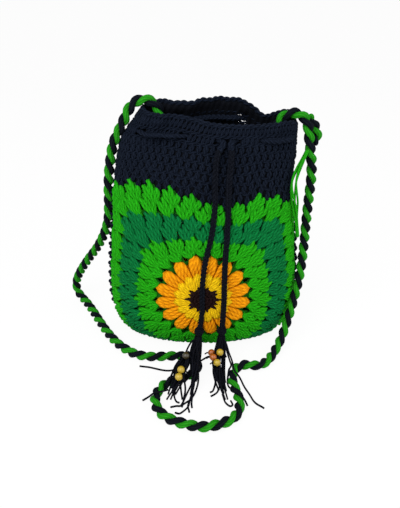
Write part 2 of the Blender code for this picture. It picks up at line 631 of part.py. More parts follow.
def drawstring_round():
    """Centre line of the drawstring through the eyelets, from the front right to the front left."""
    clear = CORD_DIAMETER / 2 + CORD_LIFT
    deep = -WALL - CORD_DIAMETER / 2 - CORD_SINK - FOLD_DEPTH
    first = FRONT_EYELET + FRONT_EYELET_CELLS / 2
    last = first + ROUND_CELLS
    front_reach, reach = FRONT_EYELET_CELLS / 2 + 0.6, EYELET_CELLS / 2 + 0.25
    exits = ((FRONT_EYELET_CELLS * 0.14, CORD_DIAMETER / 2),
             (FRONT_EYELET_CELLS * 0.32, deep / 2))
    places = [(first + cells, offset) for cells, offset in exits]
    inner = True
    start = first + front_reach
    for eyelet in EYELETS + (None,):
        centre = last if eyelet is None else eyelet + EYELET_CELLS / 2
        end = centre - (front_reach if eyelet is None else reach)
        steps = max(2, round((end - start) / 2))
        for step in range(steps + 1):
            places.append((start + (end - start) * step / steps, deep if inner else clear))
        if eyelet is not None:
            places.append((centre, -WALL / 2))
        inner = not inner
        start = centre + reach
    places += [(last - cells, offset) for cells, offset in reversed(exits)]
    cells = np.array([c for c, _ in places])
    offsets = np.array([o for _, o in places])
    wall = band_place(cells, EYELET_MIDDLE, -WALL / 2)
    way = band_place(cells, EYELET_MIDDLE, WALL / 2) - wall
    way[:, 2] = 0
    way /= np.linalg.norm(way, axis=1, keepdims=True)
    return wall + way * (offsets[:, None] + WALL / 2)


def add_drawstring():
    """One cord in three nodes: the run through the band and the two hanging ends."""
    half = CORD_DIAMETER / 2
    left, _ = route_points(LEFT_END_ROUTE, DRAWSTRING_SPACING * CORD_DIAMETER)
    right, _ = route_points(RIGHT_END_ROUTE, DRAWSTRING_SPACING * CORD_DIAMETER)
    middle = drawstring_round()[::-1]
    joints = []
    for before, after in ((left[-1], middle[0]), (middle[-1], right[0])):
        way = (after - before) / np.linalg.norm(after - before)
        seat = (after + before) / 2
        joints.append((seat - way * GAP / 2, seat + way * GAP / 2))
    runs = (("drawstring_end_left", np.vstack([left, joints[0][0]])),
            ("drawstring_round", np.vstack([joints[0][1], middle, joints[1][0]])),
            ("drawstring_end_right", np.vstack([joints[1][1], right])))
    for name, run in runs:
        add_tube(name, run, [half] * len(run), "navy")


def add_ball(name, centre, diameter, finish):
    """Yarn knot: a plain ball."""
    sides, rings = BALL_SIDES, BALL_RINGS
    vertices = [(0, 0, -1)]
    for ring in range(1, rings):
        lift = -math.pi / 2 + math.pi * ring / rings
        for k in range(sides):
            turn = 2 * math.pi * k / sides
            vertices.append((math.cos(lift) * math.cos(turn), math.cos(lift) * math.sin(turn),
                             math.sin(lift)))
    vertices.append((0, 0, 1))
    last = len(vertices) - 1
    faces = []
    for k in range(sides):
        n = (k + 1) % sides
        faces.append((0, 1 + n, 1 + k))
        faces.append((last, last - sides + k, last - sides + n))
        for ring in range(rings - 2):
            a = 1 + ring * sides
            faces.append((a + k, a + n, a + n + sides, a + k + sides))
    return add_mesh(name, np.array(vertices) * diameter / 2 + centre, faces, finish)


def shape_of(name):
    """Vertices and faces of an object made above."""
    thing = bpy.data.objects[name].evaluated_get(bpy.context.evaluated_depsgraph_get())
    mesh = thing.to_mesh()
    return [v.co.copy() for v in mesh.vertices], [tuple(p.vertices) for p in mesh.polygons]


def add_bead(name, bundle, x, y, finish):
    """Turned bead with a bore along X, lowered until it lies just above its bundle."""
    outer, bore = BEAD_DIAMETER / 2, BEAD_BORE / 2
    start = math.asin(bore / outer)
    lifts = [start + (math.pi - 2 * start) * k / (BEAD_STEPS - 1) for k in range(BEAD_STEPS)]
    profile = [(outer * math.cos(a), outer * math.sin(a)) for a in lifts]
    vertices = []
    for k in range(BEAD_SIDES):
        turn = 2 * math.pi * k / BEAD_SIDES
        for px, pr in profile:
            vertices.append((x + px, y + pr * math.cos(turn), DROP_HEIGHT + pr * math.sin(turn)))
    faces = []
    for k in range(BEAD_SIDES):
        a, b = k * BEAD_STEPS, (k + 1) % BEAD_SIDES * BEAD_STEPS
        faces += [(a + j, a + (j + 1) % BEAD_STEPS, b + (j + 1) % BEAD_STEPS, b + j)
                  for j in range(BEAD_STEPS)]
    below, below_faces = shape_of(bundle)
    under = BVHTree.FromPolygons(below, below_faces)
    over = BVHTree.FromPolygons(vertices, faces)
    falls = [under.ray_cast(v, (0, 0, -1))[3] for v in vertices]
    falls += [over.ray_cast(v, (0, 0, 1))[3] for v in below]
    drop = min(fall for fall in falls if fall is not None) - 2 * GAP
    return add_mesh(name, np.array(vertices) - [0, 0, drop], faces, finish)


def add_tassels():
    for name, bundle in (("tassel_left", TASSEL_LEFT), ("tassel_left_side", TASSEL_LEFT_SIDE),
                         ("tassel_right", TASSEL_RIGHT)):
        add_tube(name, [p for p, _ in bundle], [r for _, r in bundle], "navy")
    for side, route in (("left", LEFT_END_ROUTE[1::-1]), ("right", RIGHT_END_ROUTE)):
        last, before = np.array(route[-1]), np.array(route[-2])
        way = (last - before) / np.linalg.norm(last - before)
        centre = last + way * (TASSEL_KNOT_DIAMETER / 2 + GAP)
        add_ball("tassel_knot_" + side, centre, TASSEL_KNOT_DIAMETER, "navy")
    for name, bundle, x, y, wood in BEADS:
        add_bead(name, bundle, x, y, "bead_" + wood)


def add_strap():
    radius = ROPE_DIAMETER / 2
    points, _ = route_points(STRAP_ROUTE, ROPE_SPACING * ROPE_DIAMETER)
    add_tube("strap", points, [radius] * len(points), "bright_green")
    for name, at in (("strap_knot_left", points[0]), ("strap_knot_right", points[-1])):
        centre = at - np.array([0, 0, STRAP_KNOT_DIAMETER / 2 + GAP])
        add_ball(name, centre, STRAP_KNOT_DIAMETER, "navy")
    for name, route, wide, finish in (("strap_end", STRAP_END_ROUTE, ROPE_DIAMETER, "navy"),
                                      ("strap_tail", TAIL_ROUTE, TAIL_DIAMETER, "bright_green")):
        points, _ = route_points(route, ROPE_SPACING * wide)
        add_tube(name, points, [wide / 2] * len(points), finish)


for old in list(bpy.data.objects):
    bpy.data.objects.remove(old, do_unlink=True)

for face_name, facing in (("front", -1), ("back", 1)):
    add_square(face_name, facing)
add_seam()
add_band()
add_drawstring()
add_tassels()
add_strap()
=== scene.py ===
import math

import bpy
import numpy as np
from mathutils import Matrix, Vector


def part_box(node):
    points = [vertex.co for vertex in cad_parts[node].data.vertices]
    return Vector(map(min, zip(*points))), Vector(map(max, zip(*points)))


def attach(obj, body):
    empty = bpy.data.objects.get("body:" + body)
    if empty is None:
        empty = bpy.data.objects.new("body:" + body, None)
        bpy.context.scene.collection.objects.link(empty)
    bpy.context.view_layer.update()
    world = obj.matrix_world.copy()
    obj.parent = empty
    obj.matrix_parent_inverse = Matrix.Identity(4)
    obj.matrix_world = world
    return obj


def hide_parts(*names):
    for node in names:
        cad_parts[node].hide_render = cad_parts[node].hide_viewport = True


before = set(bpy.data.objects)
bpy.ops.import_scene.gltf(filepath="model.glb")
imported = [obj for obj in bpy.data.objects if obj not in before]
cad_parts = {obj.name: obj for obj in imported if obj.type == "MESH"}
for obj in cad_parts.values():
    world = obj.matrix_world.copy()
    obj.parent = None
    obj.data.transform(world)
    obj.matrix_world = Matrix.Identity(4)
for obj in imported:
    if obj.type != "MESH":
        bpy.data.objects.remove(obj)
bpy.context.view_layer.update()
print("frame loaded")

# camera, at the photograph's angle
camera = {
    "target": (-0.0038, 0.0, 0.1158),
    "distance": 0.7195,
    "elevation": math.radians(32.745),
    "lens": 37.127,
    "sensor": 36.0,
    "clipEnd": 100.0,
}
cameraData = bpy.data.cameras.new("camera")
cameraData.lens = camera["lens"]
cameraData.sensor_width = camera["sensor"]
cameraData.clip_end = camera["clipEnd"]
cameraObject = bpy.data.objects.new("camera", cameraData)
away = np.array([0, -math.cos(camera["elevation"]), math.sin(camera["elevation"])])
cameraObject.location = camera["target"] + camera["distance"] * away
cameraObject.rotation_euler = (math.pi / 2 - camera["elevation"], 0, 0)
bpy.context.scene.collection.objects.link(cameraObject)
bpy.context.scene.camera = cameraObject

# colours, as the yarns and woods look, with darker copies of three yarns as painted shade for the
# sheets behind the stitches
colours = {
    "brightGreen": (30, 156, 12),
    "brightGreenDeep": (14, 84, 8),
    "tealGreen": (0, 110, 52),
    "tealGreenDeep": (2, 66, 36),
    "ropeGreen": (34, 138, 20),
    "ropeNavy": (5, 9, 18),
    "cord": (6, 9, 18),
    "navy": (11, 18, 31),
    "navyDeep": (4, 6, 13),
    "orange": (255, 146, 2),
    "yellow": (244, 184, 8),
    "brown": (26, 10, 9),
    "tassel": (9, 11, 20),
    "beadYellow": (190, 160, 34),
    "beadBrown": (178, 94, 16),
    "beadDark": (50, 42, 14),
    "floor": (250, 250, 250),
}


def linear(name, share=1.0, more=0.0):
    # the named colour from sRGB to linear light, times share, plus more
    value = np.array(colours[name]) / 255
    light = np.where(value < 0.04045, value / 12.92, ((value + 0.055) / 1.055) ** 2.4)
    return (*np.minimum(1, light * share + more), 1)


# materials
class Value:
    # a socket that works in Python sums; each sum adds its Math node
    def __init__(self, paint, socket):
        self.paint, self.socket = paint, socket

    def maths(self, operation, *others):
        values = dict(enumerate((self, *others)))
        return self.paint.node("ShaderNodeMath", {"operation": operation}, values)

    def __add__(self, other):
        return self.maths("ADD", other)

    def __sub__(self, other):
        return self.maths("SUBTRACT", other)

    def __mul__(self, other):
        return self.maths("MULTIPLY", other)


class Paint:
    # the nodes of one material or of the world
    def __init__(self, owner, shader="Principled BSDF"):
        owner.use_nodes = True
        self.owner, self.tree = owner, owner.node_tree
        self.shader = self.tree.nodes[shader]

    def node(self, kind, settings=None, values=None, output=0):
        made = self.tree.nodes.new(kind)
        for key, setting in (settings or {}).items():
            setattr(made, key, setting)
        for key, value in (values or {}).items():
            self.feed(made.inputs[key], value)
        return Value(self, made.outputs[output])

    def feed(self, socket, value):
        if isinstance(value, Value):
            self.tree.links.new(value.socket, socket)
        else:
            socket.default_value = value

    def mix(self, factor, first, second):
        return self.node("ShaderNodeMix", {"data_type": "RGBA"},
                         {0: factor, 6: first, 7: second}, 2)

    def noise(self, place, scale, detail, distortion=0.0):
        return self.node("ShaderNodeTexNoise", values={
            "Vector": place, "Scale": scale, "Detail": detail, "Distortion": distortion})

    def bump(self, strength, distance, height):
        return self.node("ShaderNodeBump", values={
            "Strength": strength, "Distance": distance, "Height": height})

    def plainRays(self):
        # 1 where the camera looks, straight or through a gloss or a clear surface, and 0 elsewhere
        rays = [self.node("ShaderNodeLightPath", output=kind) for kind in
                ("Is Camera Ray", "Is Glossy Ray", "Is Transmission Ray")]
        return rays[0].maths("MAXIMUM", rays[1]).maths("MAXIMUM", rays[2])

    def finish(self, **values):
        for name, value in values.items():
            self.feed(self.shader.inputs[name.replace("_", " ")], value)
        return self.owner


yarnLook = {
    "fibre": (1500.0, 3.0),     # fibres to a metre, and their detail
    "mottle": (90.0, 2.0),
    "shares": (0.45, 0.35, 0.35, 0.05),     # ridges, fibres and mottle in the colour, less dark; the ridges' share is painted shade in the ply grooves and painted highlight on the crests
    "raised": 0.8,              # fibres in the bump
    "bump": (0.9, 0.0006),
    # painted highlight: a little linear light added to the lighter tone
    "glow": 0.004,
    "roughness": 0.88,
    "specular": 0.05,
}
woodLook = {
    "stretch": (260, 1500, 1500),
    "grain": (1.0, 4.0, 0.6),   # scale, detail, distortion
    "tones": (0.5, 1.3),
    "roughness": (0.35, 0.15),
    "bump": (0.25, 0.0002),
    "coat": (0.4, 0.2),
}


def yarnPaint(name, lighter=1.35, darker=0.45, pitch=0.0075, plies=3):
    # ridges = sine of 2 pi x (metres along / pitch + plies x turns round)
    paint = Paint(bpy.data.materials.new(name + "Yarn"))
    uv = paint.node("ShaderNodeUVMap", {"uv_map": "yarn"})
    along, around = (paint.node("ShaderNodeSeparateXYZ", values={0: uv}, output=k) for k in (0, 1))
    place = paint.node("ShaderNodeTexCoord", output="Object")
    turns = along * (1 / pitch) + around * plies
    ridge = (turns * (2 * math.pi)).maths("SINE") * 0.5 + 0.5
    fibre = paint.noise(place, *yarnLook["fibre"])
    ridges, fibres, mottles, less = yarnLook["shares"]
    mottle = paint.noise(place, *yarnLook["mottle"])
    # the colour follows the ply ridges, as painted shade in the grooves and painted highlight on
    # the crests, with the fibres' and mottle's random tone
    shade = ridge * ridges + fibre * fibres + mottle * mottles - less
    bumped = paint.bump(*yarnLook["bump"], ridge + fibre * yarnLook["raised"])
    tone = paint.mix(shade, linear(name, darker), linear(name, lighter, yarnLook["glow"]))
    return paint.finish(Base_Color=tone, Roughness=yarnLook["roughness"], Normal=bumped,
                        Specular_IOR_Level=yarnLook["specular"])


def woodPaint(name):
    # turned and lacquered wood: fine rings across the bead's own axis
    paint = Paint(bpy.data.materials.new(name + "Wood"))
    place = paint.node("ShaderNodeTexCoord", output="Object")
    stretched = paint.node("ShaderNodeMapping", values={
        "Vector": place, "Scale": woodLook["stretch"]})
    grain = paint.noise(stretched, *woodLook["grain"])
    smooth, rougher = woodLook["roughness"]
    return paint.finish(Base_Color=paint.mix(grain, *(linear(name, k) for k in woodLook["tones"])),
                        Roughness=grain * rougher + smooth,
                        Normal=paint.bump(*woodLook["bump"], grain),
                        Coat_Weight=woodLook["coat"][0], Coat_Roughness=woodLook["coat"][1])


# lighter and darker set how strong the painted highlight on the crests and the painted shade in the
# grooves are, and the range of the random tone
yarns = {
    # the darker copies of the yarns are painted shade for the sheets behind the stitches
    "brightGreen": {}, "brightGreenDeep": {}, "tealGreen": {}, "tealGreenDeep": {},
    "orange": {}, "yellow": {},
    "brown": {"lighter": 1.8, "darker": 0.4},
    "navy": {"lighter": 1.9, "darker": 0.3},
    "navyDeep": {"lighter": 1.5, "darker": 0.4},
    "cord": {"lighter": 1.9, "darker": 0.4},
    "tassel": {"lighter": 1.8, "darker": 0.4, "pitch": 0.004},
    "ropeGreen": {"pitch": 0.012, "plies": 6},
    "ropeNavy": {"lighter": 1.9, "darker": 0.3, "pitch": 0.012, "plies": 6},
}
paints = {name: yarnPaint(name, **look) for name, look in yarns.items()}
paints.update((name, woodPaint(name)) for name in ("beadYellow", "beadBrown", "beadDark"))
print("materials made")


# meshes: everything is collected as arrays and put in at once
def unit(vectors):
    # each vector divided by its own length
    return vectors / np.maximum(np.linalg.norm(vectors, axis=-1, keepdims=True), 1e-12)


def stacked(*parts):
    # the parts side by side along a new last axis
    return np.stack(np.broadcast_arrays(*parts), -1)


def travelled(points):
    # metres gone at each point of a line
    return np.r_[0, np.cumsum(np.linalg.norm(np.diff(points, axis=0), axis=1))]


def cells(columns, rows):
    # column and row of every cell in a grid
    return (m.ravel() for m in np.meshgrid(np.arange(columns), np.arange(rows), indexing="ij"))


def circle(sides):
    # angles of 2 pi x k / sides
    return np.arange(sides) * 2 * math.pi / sides


def camel(node):
    # joining_seam becomes joiningSeam
    first, *rest = node.split("_")
    return first + "".join(word.title() for word in rest)


class Work:
    # the points, faces, UVs and material slots of one piece
    def __init__(self):
        self.points, self.faces, self.uvs, self.slots, self.count = [], [], [], [], 0

    def add(self, points, faces, uv, slot=0):
        self.points.append(points)
        self.close(faces + self.count, uv, slot)
        self.count += len(points)

    def close(self, faces, uv=None, slot=0):
        # faces over points that are there already
        self.faces.append(faces)
        self.uvs.append(np.zeros(faces.shape + (2,)) if uv is None else uv)
        self.slots.append(np.full(len(faces), slot))

    def tubes(self, paths, ups, radii, sides=8, slot=0):
        # each ring = path + radius x (cos a x across + sin a x up), for many yarns at once
        paths = np.array(paths, float, ndmin=3)
        count, steps = paths.shape[:2]
        along = unit(np.gradient(paths, axis=1))
        ups = np.broadcast_to(ups, paths.shape)
        ups = unit(ups - along * np.sum(ups * along, axis=2, keepdims=True))
        across = np.cross(along, ups)
        turn = circle(sides)[:, None]
        radii = np.array(radii, float)[..., None]
        if radii.ndim < 4:
            radii = radii[..., None]
        rings = paths[:, :, None] + radii * (across[:, :, None] * np.cos(turn)
                                             + ups[:, :, None] * np.sin(turn))
        gone = np.linalg.norm(np.diff(paths, axis=1), axis=2)
        gone = np.concatenate([np.zeros((count, 1)), np.cumsum(gone, axis=1)], axis=1)
        first = (np.arange(count)[:, None, None] * steps + np.arange(steps - 1)[:, None]) * sides
        k = np.arange(sides)
        after = (k + 1) % sides
        quads = stacked(first + k, first + sides + k, first + sides + after, first + after)
        near, far = gone[:, :-1, None], gone[:, 1:, None]
        share, ahead = k / sides, (k + 1) / sides
        uv = stacked(stacked(near, far, far, near), stacked(share, share, ahead, ahead))
        start = self.count
        self.add(rings.reshape(-1, 3), quads.reshape(-1, 4), uv.reshape(-1, 4, 2), slot)
        ends = np.arange(count)[:, None] * steps * sides
        self.close(np.concatenate([ends + k, ends + (steps - 1) * sides + k[::-1]]) + start,
                   slot=slot)

    def lining(self, place, grid, depths, uv, slot=0, flipped=False,
               shut=lambda i, j: i >= 0):
        # two layers of fabric on a grid that closes on itself, and walls along every open edge
        columns, tall = grid[0], grid[1] + 1
        i, j = cells(*grid)
        i, j = i[shut(i, j)], j[shut(i, j)]
        after = (i + 1) % columns
        quads = stacked(i * tall + j, after * tall + j, after * tall + j + 1, i * tall + j + 1)
        if flipped:
            quads = quads[:, ::-1]
        count = columns * tall
        ahead = stacked(quads, np.roll(quads, -1, axis=1)).reshape(-1, 2)
        bare = ~np.isin(ahead[:, 0] * count + ahead[:, 1], ahead[:, 1] * count + ahead[:, 0])
        last, first = ahead[bare].T
        walls = stacked(first, last, last + count, first + count)
        faces = np.concatenate([quads, quads[:, ::-1] + count, walls])
        uv = uv.reshape(-1, 2)
        self.add(np.concatenate([place(-depth).reshape(-1, 3) for depth in depths]), faces,
                 np.concatenate([uv, uv])[faces], slot)

    def piece(self, name, yarns, slotName, nodes=()):
        points = np.concatenate(self.points)
        points[:, 2] = np.maximum(points[:, 2], 0.0001)   # flat where it rests
        corners = np.concatenate([f.ravel() for f in self.faces])
        sizes = np.concatenate([np.full(len(f), f.shape[1]) for f in self.faces])
        mesh = bpy.data.meshes.new(name)
        mesh.vertices.add(len(points))
        mesh.vertices.foreach_set("co", points.astype(np.float32).ravel())
        mesh.loops.add(len(corners))
        mesh.loops.foreach_set("vertex_index", corners.astype(np.int32))
        mesh.polygons.add(len(sizes))
        mesh.polygons.foreach_set("loop_start", np.r_[0, np.cumsum(sizes)[:-1]].astype(np.int32))
        for yarn in yarns:
            mesh.materials.append(paints[yarn])
        mesh.polygons.foreach_set("material_index", np.concatenate(self.slots).astype(np.int32))
        layer = mesh.uv_layers.new(name="yarn")
        uvs = np.concatenate([u.reshape(-1, 2) for u in self.uvs])
        layer.data.foreach_set("uv", uvs.astype(np.float32).ravel())
        mesh.update(calc_edges=True)
        mesh.shade_smooth()
        made = bpy.data.objects.new(name, mesh)
        bpy.context.scene.collection.objects.link(made)
        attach(made, "root")
        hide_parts(*nodes)
        print(name, "faces", len(sizes))
        return made


# routes and cords
def routeCurve(route, spacing):
    # half of (2b + t(c-a) + t2(2a-5b+4c-d) + t3(3b-a-3c+d)) between points, then even steps
    points = np.vstack([2 * route[0] - route[1], route, 2 * route[-1] - route[-2]])
    a, b, c, d = (points[k:len(points) - 3 + k, None] for k in range(4))
    t = (np.arange(12) / 12)[None, :, None]
    fine = 0.5 * (2 * b + t * (c - a) + t ** 2 * (2 * a - 5 * b + 4 * c - d)
                  + t ** 3 * (3 * b - a - 3 * c + d))
    fine = np.vstack([fine.reshape(-1, 3), points[-2]])
    gone = travelled(fine)
    places = np.linspace(0, gone[-1], max(3, round(gone[-1] / spacing)) + 1)
    return np.stack([np.interp(places, gone, fine[:, k]) for k in range(3)], axis=1)


def carried(points, up):
    # every ring's up is the last one with the path's turn taken out, so nothing spins by itself
    along = unit(np.gradient(points, axis=0))
    ups = np.empty_like(points)
    for k, way in enumerate(along):
        up = up - way * (up @ way)
        up = up / np.linalg.norm(up)
        ups[k] = up
    return ups, np.cross(along, ups)


def wound(points, up, reach, pitch, yarns, start=0.0, flat=1.0, weave=1.0):
    # yarn k = path + reach x (cos w x across + flat x sin(weave x w) x up),
    # where w = start + 2 pi x (metres gone / pitch + k / yarns)
    ups, across = carried(points, np.array(up, float))
    made = []
    for k in range(yarns):
        w = (2 * math.pi * (travelled(points) / pitch + k / yarns) + start)[:, None]
        made.append(points + reach * (np.cos(w) * across + flat * np.sin(weave * w) * ups))
    return np.array(made), ups


# points in tenths of a millimetre
tables = {
    "leftEnd": (
        (-40, -754, 480), (-20, -747, 620), (-10, -740, 800), (-10, -734, 980), (0, -710, 1250),
        (35, -668, 1500), (100, -607, 1790), (130, -558, 2030), (140, -512, 2280),
        (140, -468, 2520), (150, -435, 2700), (180, -415, 2820),
    ),
    "rightEnd": (
        (320, -410, 2820), (320, -430, 2700), (305, -460, 2520), (300, -502, 2280),
        (300, -546, 2030), (290, -594, 1790), (275, -652, 1500), (270, -697, 1250),
        (270, -720, 980), (268, -730, 800), (262, -736, 620), (255, -742, 480),
    ),
    "strap": (
        (-490, 0, 2940), (-495, 0, 3060), (-530, 0, 3180), (-600, 0, 3255), (-690, 0, 3280),
        (-780, -5, 3255), (-855, -15, 3185), (-910, -20, 3085), (-975, -20, 2960),
        (-1070, -20, 2780), (-1125, -10, 2600), (-1172, -10, 2370), (-1200, 0, 2140),
        (-1220, 10, 1920), (-1250, 30, 1700), (-1330, 90, 1450), (-1480, 200, 1150),
        (-1690, 340, 820), (-1870, 480, 500), (-1960, 570, 260), (-1950, 550, 115),
        (-1870, 450, 68), (-1770, 310, 68), (-1650, 120, 68), (-1510, -120, 68),
        (-1350, -380, 68), (-1190, -590, 68), (-1050, -720, 68), (-890, -820, 68),
        (-690, -860, 68), (-470, -850, 68), (-280, -850, 68), (-130, -910, 68), (-70, -1040, 68),
        (-130, -1170, 68), (-280, -1250, 68), (-450, -1330, 68), (-550, -1450, 68),
        (-590, -1600, 68), (-540, -1770, 68), (-400, -1900, 68), (-200, -1980, 68),
        (0, -2015, 68), (180, -1980, 68), (340, -1900, 68), (430, -1770, 68), (440, -1600, 68),
        (400, -1420, 68), (375, -1250, 68), (425, -1090, 68), (545, -1015, 68), (665, -1025, 68),
        (770, -1010, 68), (860, -935, 68), (950, -810, 75), (1070, -620, 150), (1170, -450, 350),
        (1260, -300, 620), (1330, -170, 950), (1355, -80, 1300), (1355, -40, 1650),
        (1355, -20, 1980), (1355, -20, 2270), (1340, -20, 2470), (1310, -20, 2640),
        (1280, -20, 2780), (1260, -15, 2890), (1235, -10, 2990), (1185, -5, 3070),
        (1110, 0, 3115), (1005, 0, 3110), (915, 0, 3045), (870, 0, 2940), (858, 0, 2820),
    ),
    "strapEnd": (
        (1252, 105, 3042), (1315, 110, 2975), (1378, 118, 2870), (1390, 120, 2780),
        (1370, 120, 2700),
    ),
    "tail": (
        (1250, -84, 2690), (1190, -155, 2585), (1130, -210, 2460), (1105, -230, 2340),
        (1120, -225, 2190), (1150, -210, 2040), (1175, -195, 1890), (1205, -180, 1720),
        (1235, -170, 1540),
    ),
}
routes = {name: np.array(table) / 10000 for name, table in tables.items()}

rope = {
    "diameter": 0.013,
    "yarnRadius": 0.0036,
    "reach": 0.0031,
    "pitch": 0.0275,
    "step": 0.0017,
    "up": (0.1, 0.2, 1.0),
    "sides": 18,
    "plies": 6,
    "plyPitch": 0.026,
    "plyDepth": 0.09,
    "ends": (0.55, 0.85),      # of the yarn's radius, at the first and second ring
}


def ropePiece(name, points, slotName, node, start=0.0):
    # two thick yarns wound together; ply ridges = 1 - depth + depth x |cos(plies/2 x (a - turn))|
    paths, ups = wound(points, rope["up"], rope["reach"], rope["pitch"], 2, start)
    gone = np.arange(len(points)) * rope["step"]
    turned = circle(rope["sides"]) + (gone * 2 * math.pi / rope["plyPitch"])[:, None]
    ridge = 1 - rope["plyDepth"] + rope["plyDepth"] * np.abs(np.cos(turned * rope["plies"] / 2))
    ridge[[0, -1]] *= rope["ends"][0]
    ridge[[1, -2]] *= rope["ends"][1]
    work = Work()
    for k, path in enumerate(paths):
        work.tubes(path, ups, (rope["yarnRadius"] * ridge)[None], rope["sides"], k)
    return work.piece(name, ("ropeGreen", "ropeNavy"), slotName, [node])


strapPoints = routeCurve(routes["strap"], rope["step"])
strap = ropePiece("strapRope", strapPoints, "bright_green", "strap")
strapEnd = ropePiece("strapEndRope", routeCurve(routes["strapEnd"], rope["step"]), "navy",
                     "strap_end", 1.0)

tail = {
    "diameter": 0.005,
    "strands": 4,
    "radius": 0.0013,
    "reach": 0.0038,
    "pitch": 0.20,
    "start": 0.4,
    "up": (0, 0.3, 1),
    "step": 0.0025,
    "together": 0.32,          # of the reach, at both ends
    "parting": (1.25, 0.05, 1.4),
}
tailPoints = routeCurve(routes["tail"], tail["step"])
# strands part in the middle and come together at both ends
paths, ups = wound(tailPoints, tail["up"], 1.0, tail["pitch"], tail["strands"], tail["start"])
place = np.linspace(0, 1, len(tailPoints))[:, None]
stretch, start, curve = tail["parting"]
part = np.sin(math.pi * np.clip(place * stretch - start, 0, 1)) ** curve
part = tail["together"] + (1 - tail["together"]) * part
work = Work()
work.tubes(tailPoints + (paths - tailPoints) * tail["reach"] * part, ups, tail["radius"])
strapTail = work.piece("strapTailYarn", ("brightGreen",), "bright_green", ["strap_tail"])
print("strap made")


# the bag's surface, with the same sections as the solids
bag = {
    "wall": 0.004,
    "seamHalf": 0.003,
    "heights": (0, 0, 0.022, 0.055, 0.100, 0.160, 0.214, 0.275, 0.314),
    "halfDepths": (0, 0.044, 0.061, 0.066, 0.065, 0.057, 0.047, 0.036, 0.027),
    "halfWidths": (0.084, 0.107, 0.121, 0.1265, 0.124, 0.117, 0.112, 0.106, 0.0915),
    "leans": (0, 0, 0, 0, 0, 0, 0, 0.006, 0.0195),
    "belly": (0.124, 0.065),
    "rimTiltSide": 0.005,
    "rimTiltBack": 0.008,
    "pinch": (0.85, -0.5, 0.3),
    "dip": (0.015, 0.62, 0.2),
    "saddle": (0.009, 0.3),
    "flowerHeight": 0.0905,
    "shoulder": 0.214,
    "softBase": 0.014,
    "softLeast": 0.15,
}


def smoothCurve(knots, values, x):
    # cubic through the values, level where they stop rising or falling
    knots, values = np.asarray(knots, float), np.asarray(values, float)
    step = np.diff(knots)
    slope = np.diff(values) / step
    tangent = np.zeros(len(knots))
    same = slope[:-1] * slope[1:] > 0
    total = np.where(same, slope[:-1] + slope[1:], 1.0)
    tangent[1:-1] = np.where(same, 2 * slope[:-1] * slope[1:] / total, 0)
    tangent[0], tangent[-1] = slope[0], slope[-1]
    i = np.clip(np.searchsorted(knots, x, side="right") - 1, 0, len(knots) - 2)
    t = (x - knots[i]) / step[i]
    first = values[i] * (1 + 2 * t) * (1 - t) ** 2 + tangent[i] * step[i] * t * (1 - t) ** 2
    last = values[i + 1] * t * t * (3 - 2 * t) + tangent[i + 1] * step[i] * t * t * (t - 1)
    return first + last


wallKnots = travelled(stacked(bag["heights"], bag["halfDepths"]))
fineKnots = np.linspace(0, wallKnots[-1], 600)
sections = [smoothCurve(wallKnots, bag[key], fineKnots) for key in
            ("heights", "halfDepths", "halfWidths", "leans")]
lengths = travelled(stacked(*sections[:2]))
onWall = lengths > bag["halfDepths"][1]
flowerLength, shoulderLength = (
    float(np.interp(height, sections[0][onWall], lengths[onWall])) for height in
    (bag["flowerHeight"], bag["shoulder"]))
rimLength = float(lengths[-1])
angles = np.linspace(-math.pi / 2, math.pi / 2, 400)
oval = travelled(stacked(bag["belly"][0] * np.sin(angles), bag["belly"][1] * np.cos(angles)))
halfSpan = float(oval[-1]) / 2
acrossTable = oval / halfSpan - 1


def aboveShoulder(length):
    # 0 up to the shoulder, then evenly up to 1 at the rim
    return np.clip((length - shoulderLength) / (rimLength - shoulderLength), 0, 1)


def bagSurface(across, length, side):
    # x = lean + half width x sin a, y = side x half depth x cos a, with a from seam to seam
    a = np.interp(across, acrossTable, angles)
    height, depth, width, lean = (np.interp(length, lengths, s) for s in sections)
    top = aboveShoulder(length) ** 2
    amount, middle, spread = bag["pinch"]
    pinch = amount * top * np.exp(-((np.sin(a) - middle) / spread) ** 2)
    amount, middle, spread = bag["dip"]
    dip = amount * np.exp(-((np.sin(a) - middle) / spread) ** 2) * (side > 0)
    amount, spread = bag["saddle"]
    saddle = amount * np.exp(-(np.cos(a) / spread) ** 2) * (a > 0)
    tilt = side * bag["rimTiltBack"] * np.cos(a) - bag["rimTiltSide"] * np.sin(a) - dip - saddle
    return stacked(lean + width * np.sin(a),
                   side * (bag["seamHalf"] + depth * (1 - pinch) * np.cos(a)), height + top * tilt)


def bagPoint(across, length, side, outward=0.0):
    # the surface moved out along its own normal, less where it rests
    across, length = np.broadcast_arrays(np.asarray(across, float), np.asarray(length, float))
    step = 0.002
    near = np.clip(length, step, rimLength)
    alongX = (bagSurface(np.clip(across + step, -1, 1), near, side)
              - bagSurface(np.clip(across - step, -1, 1), near, side))
    alongZ = (bagSurface(across, np.clip(near + step, 0, rimLength), side)
              - bagSurface(across, np.clip(length - step, 0, rimLength), side))
    normal = unit(np.cross(alongX, alongZ) * -side)
    surface = bagSurface(across, length, side)
    outward = np.asarray(outward, float) * np.ones(across.shape)
    resting = np.clip(surface[..., 2] / bag["softBase"], bag["softLeast"], 1)
    middle = bag["wall"] / 2
    outward = np.where(outward > -middle, (outward + middle) * resting - middle, outward)
    return surface + normal * outward[..., None], normal


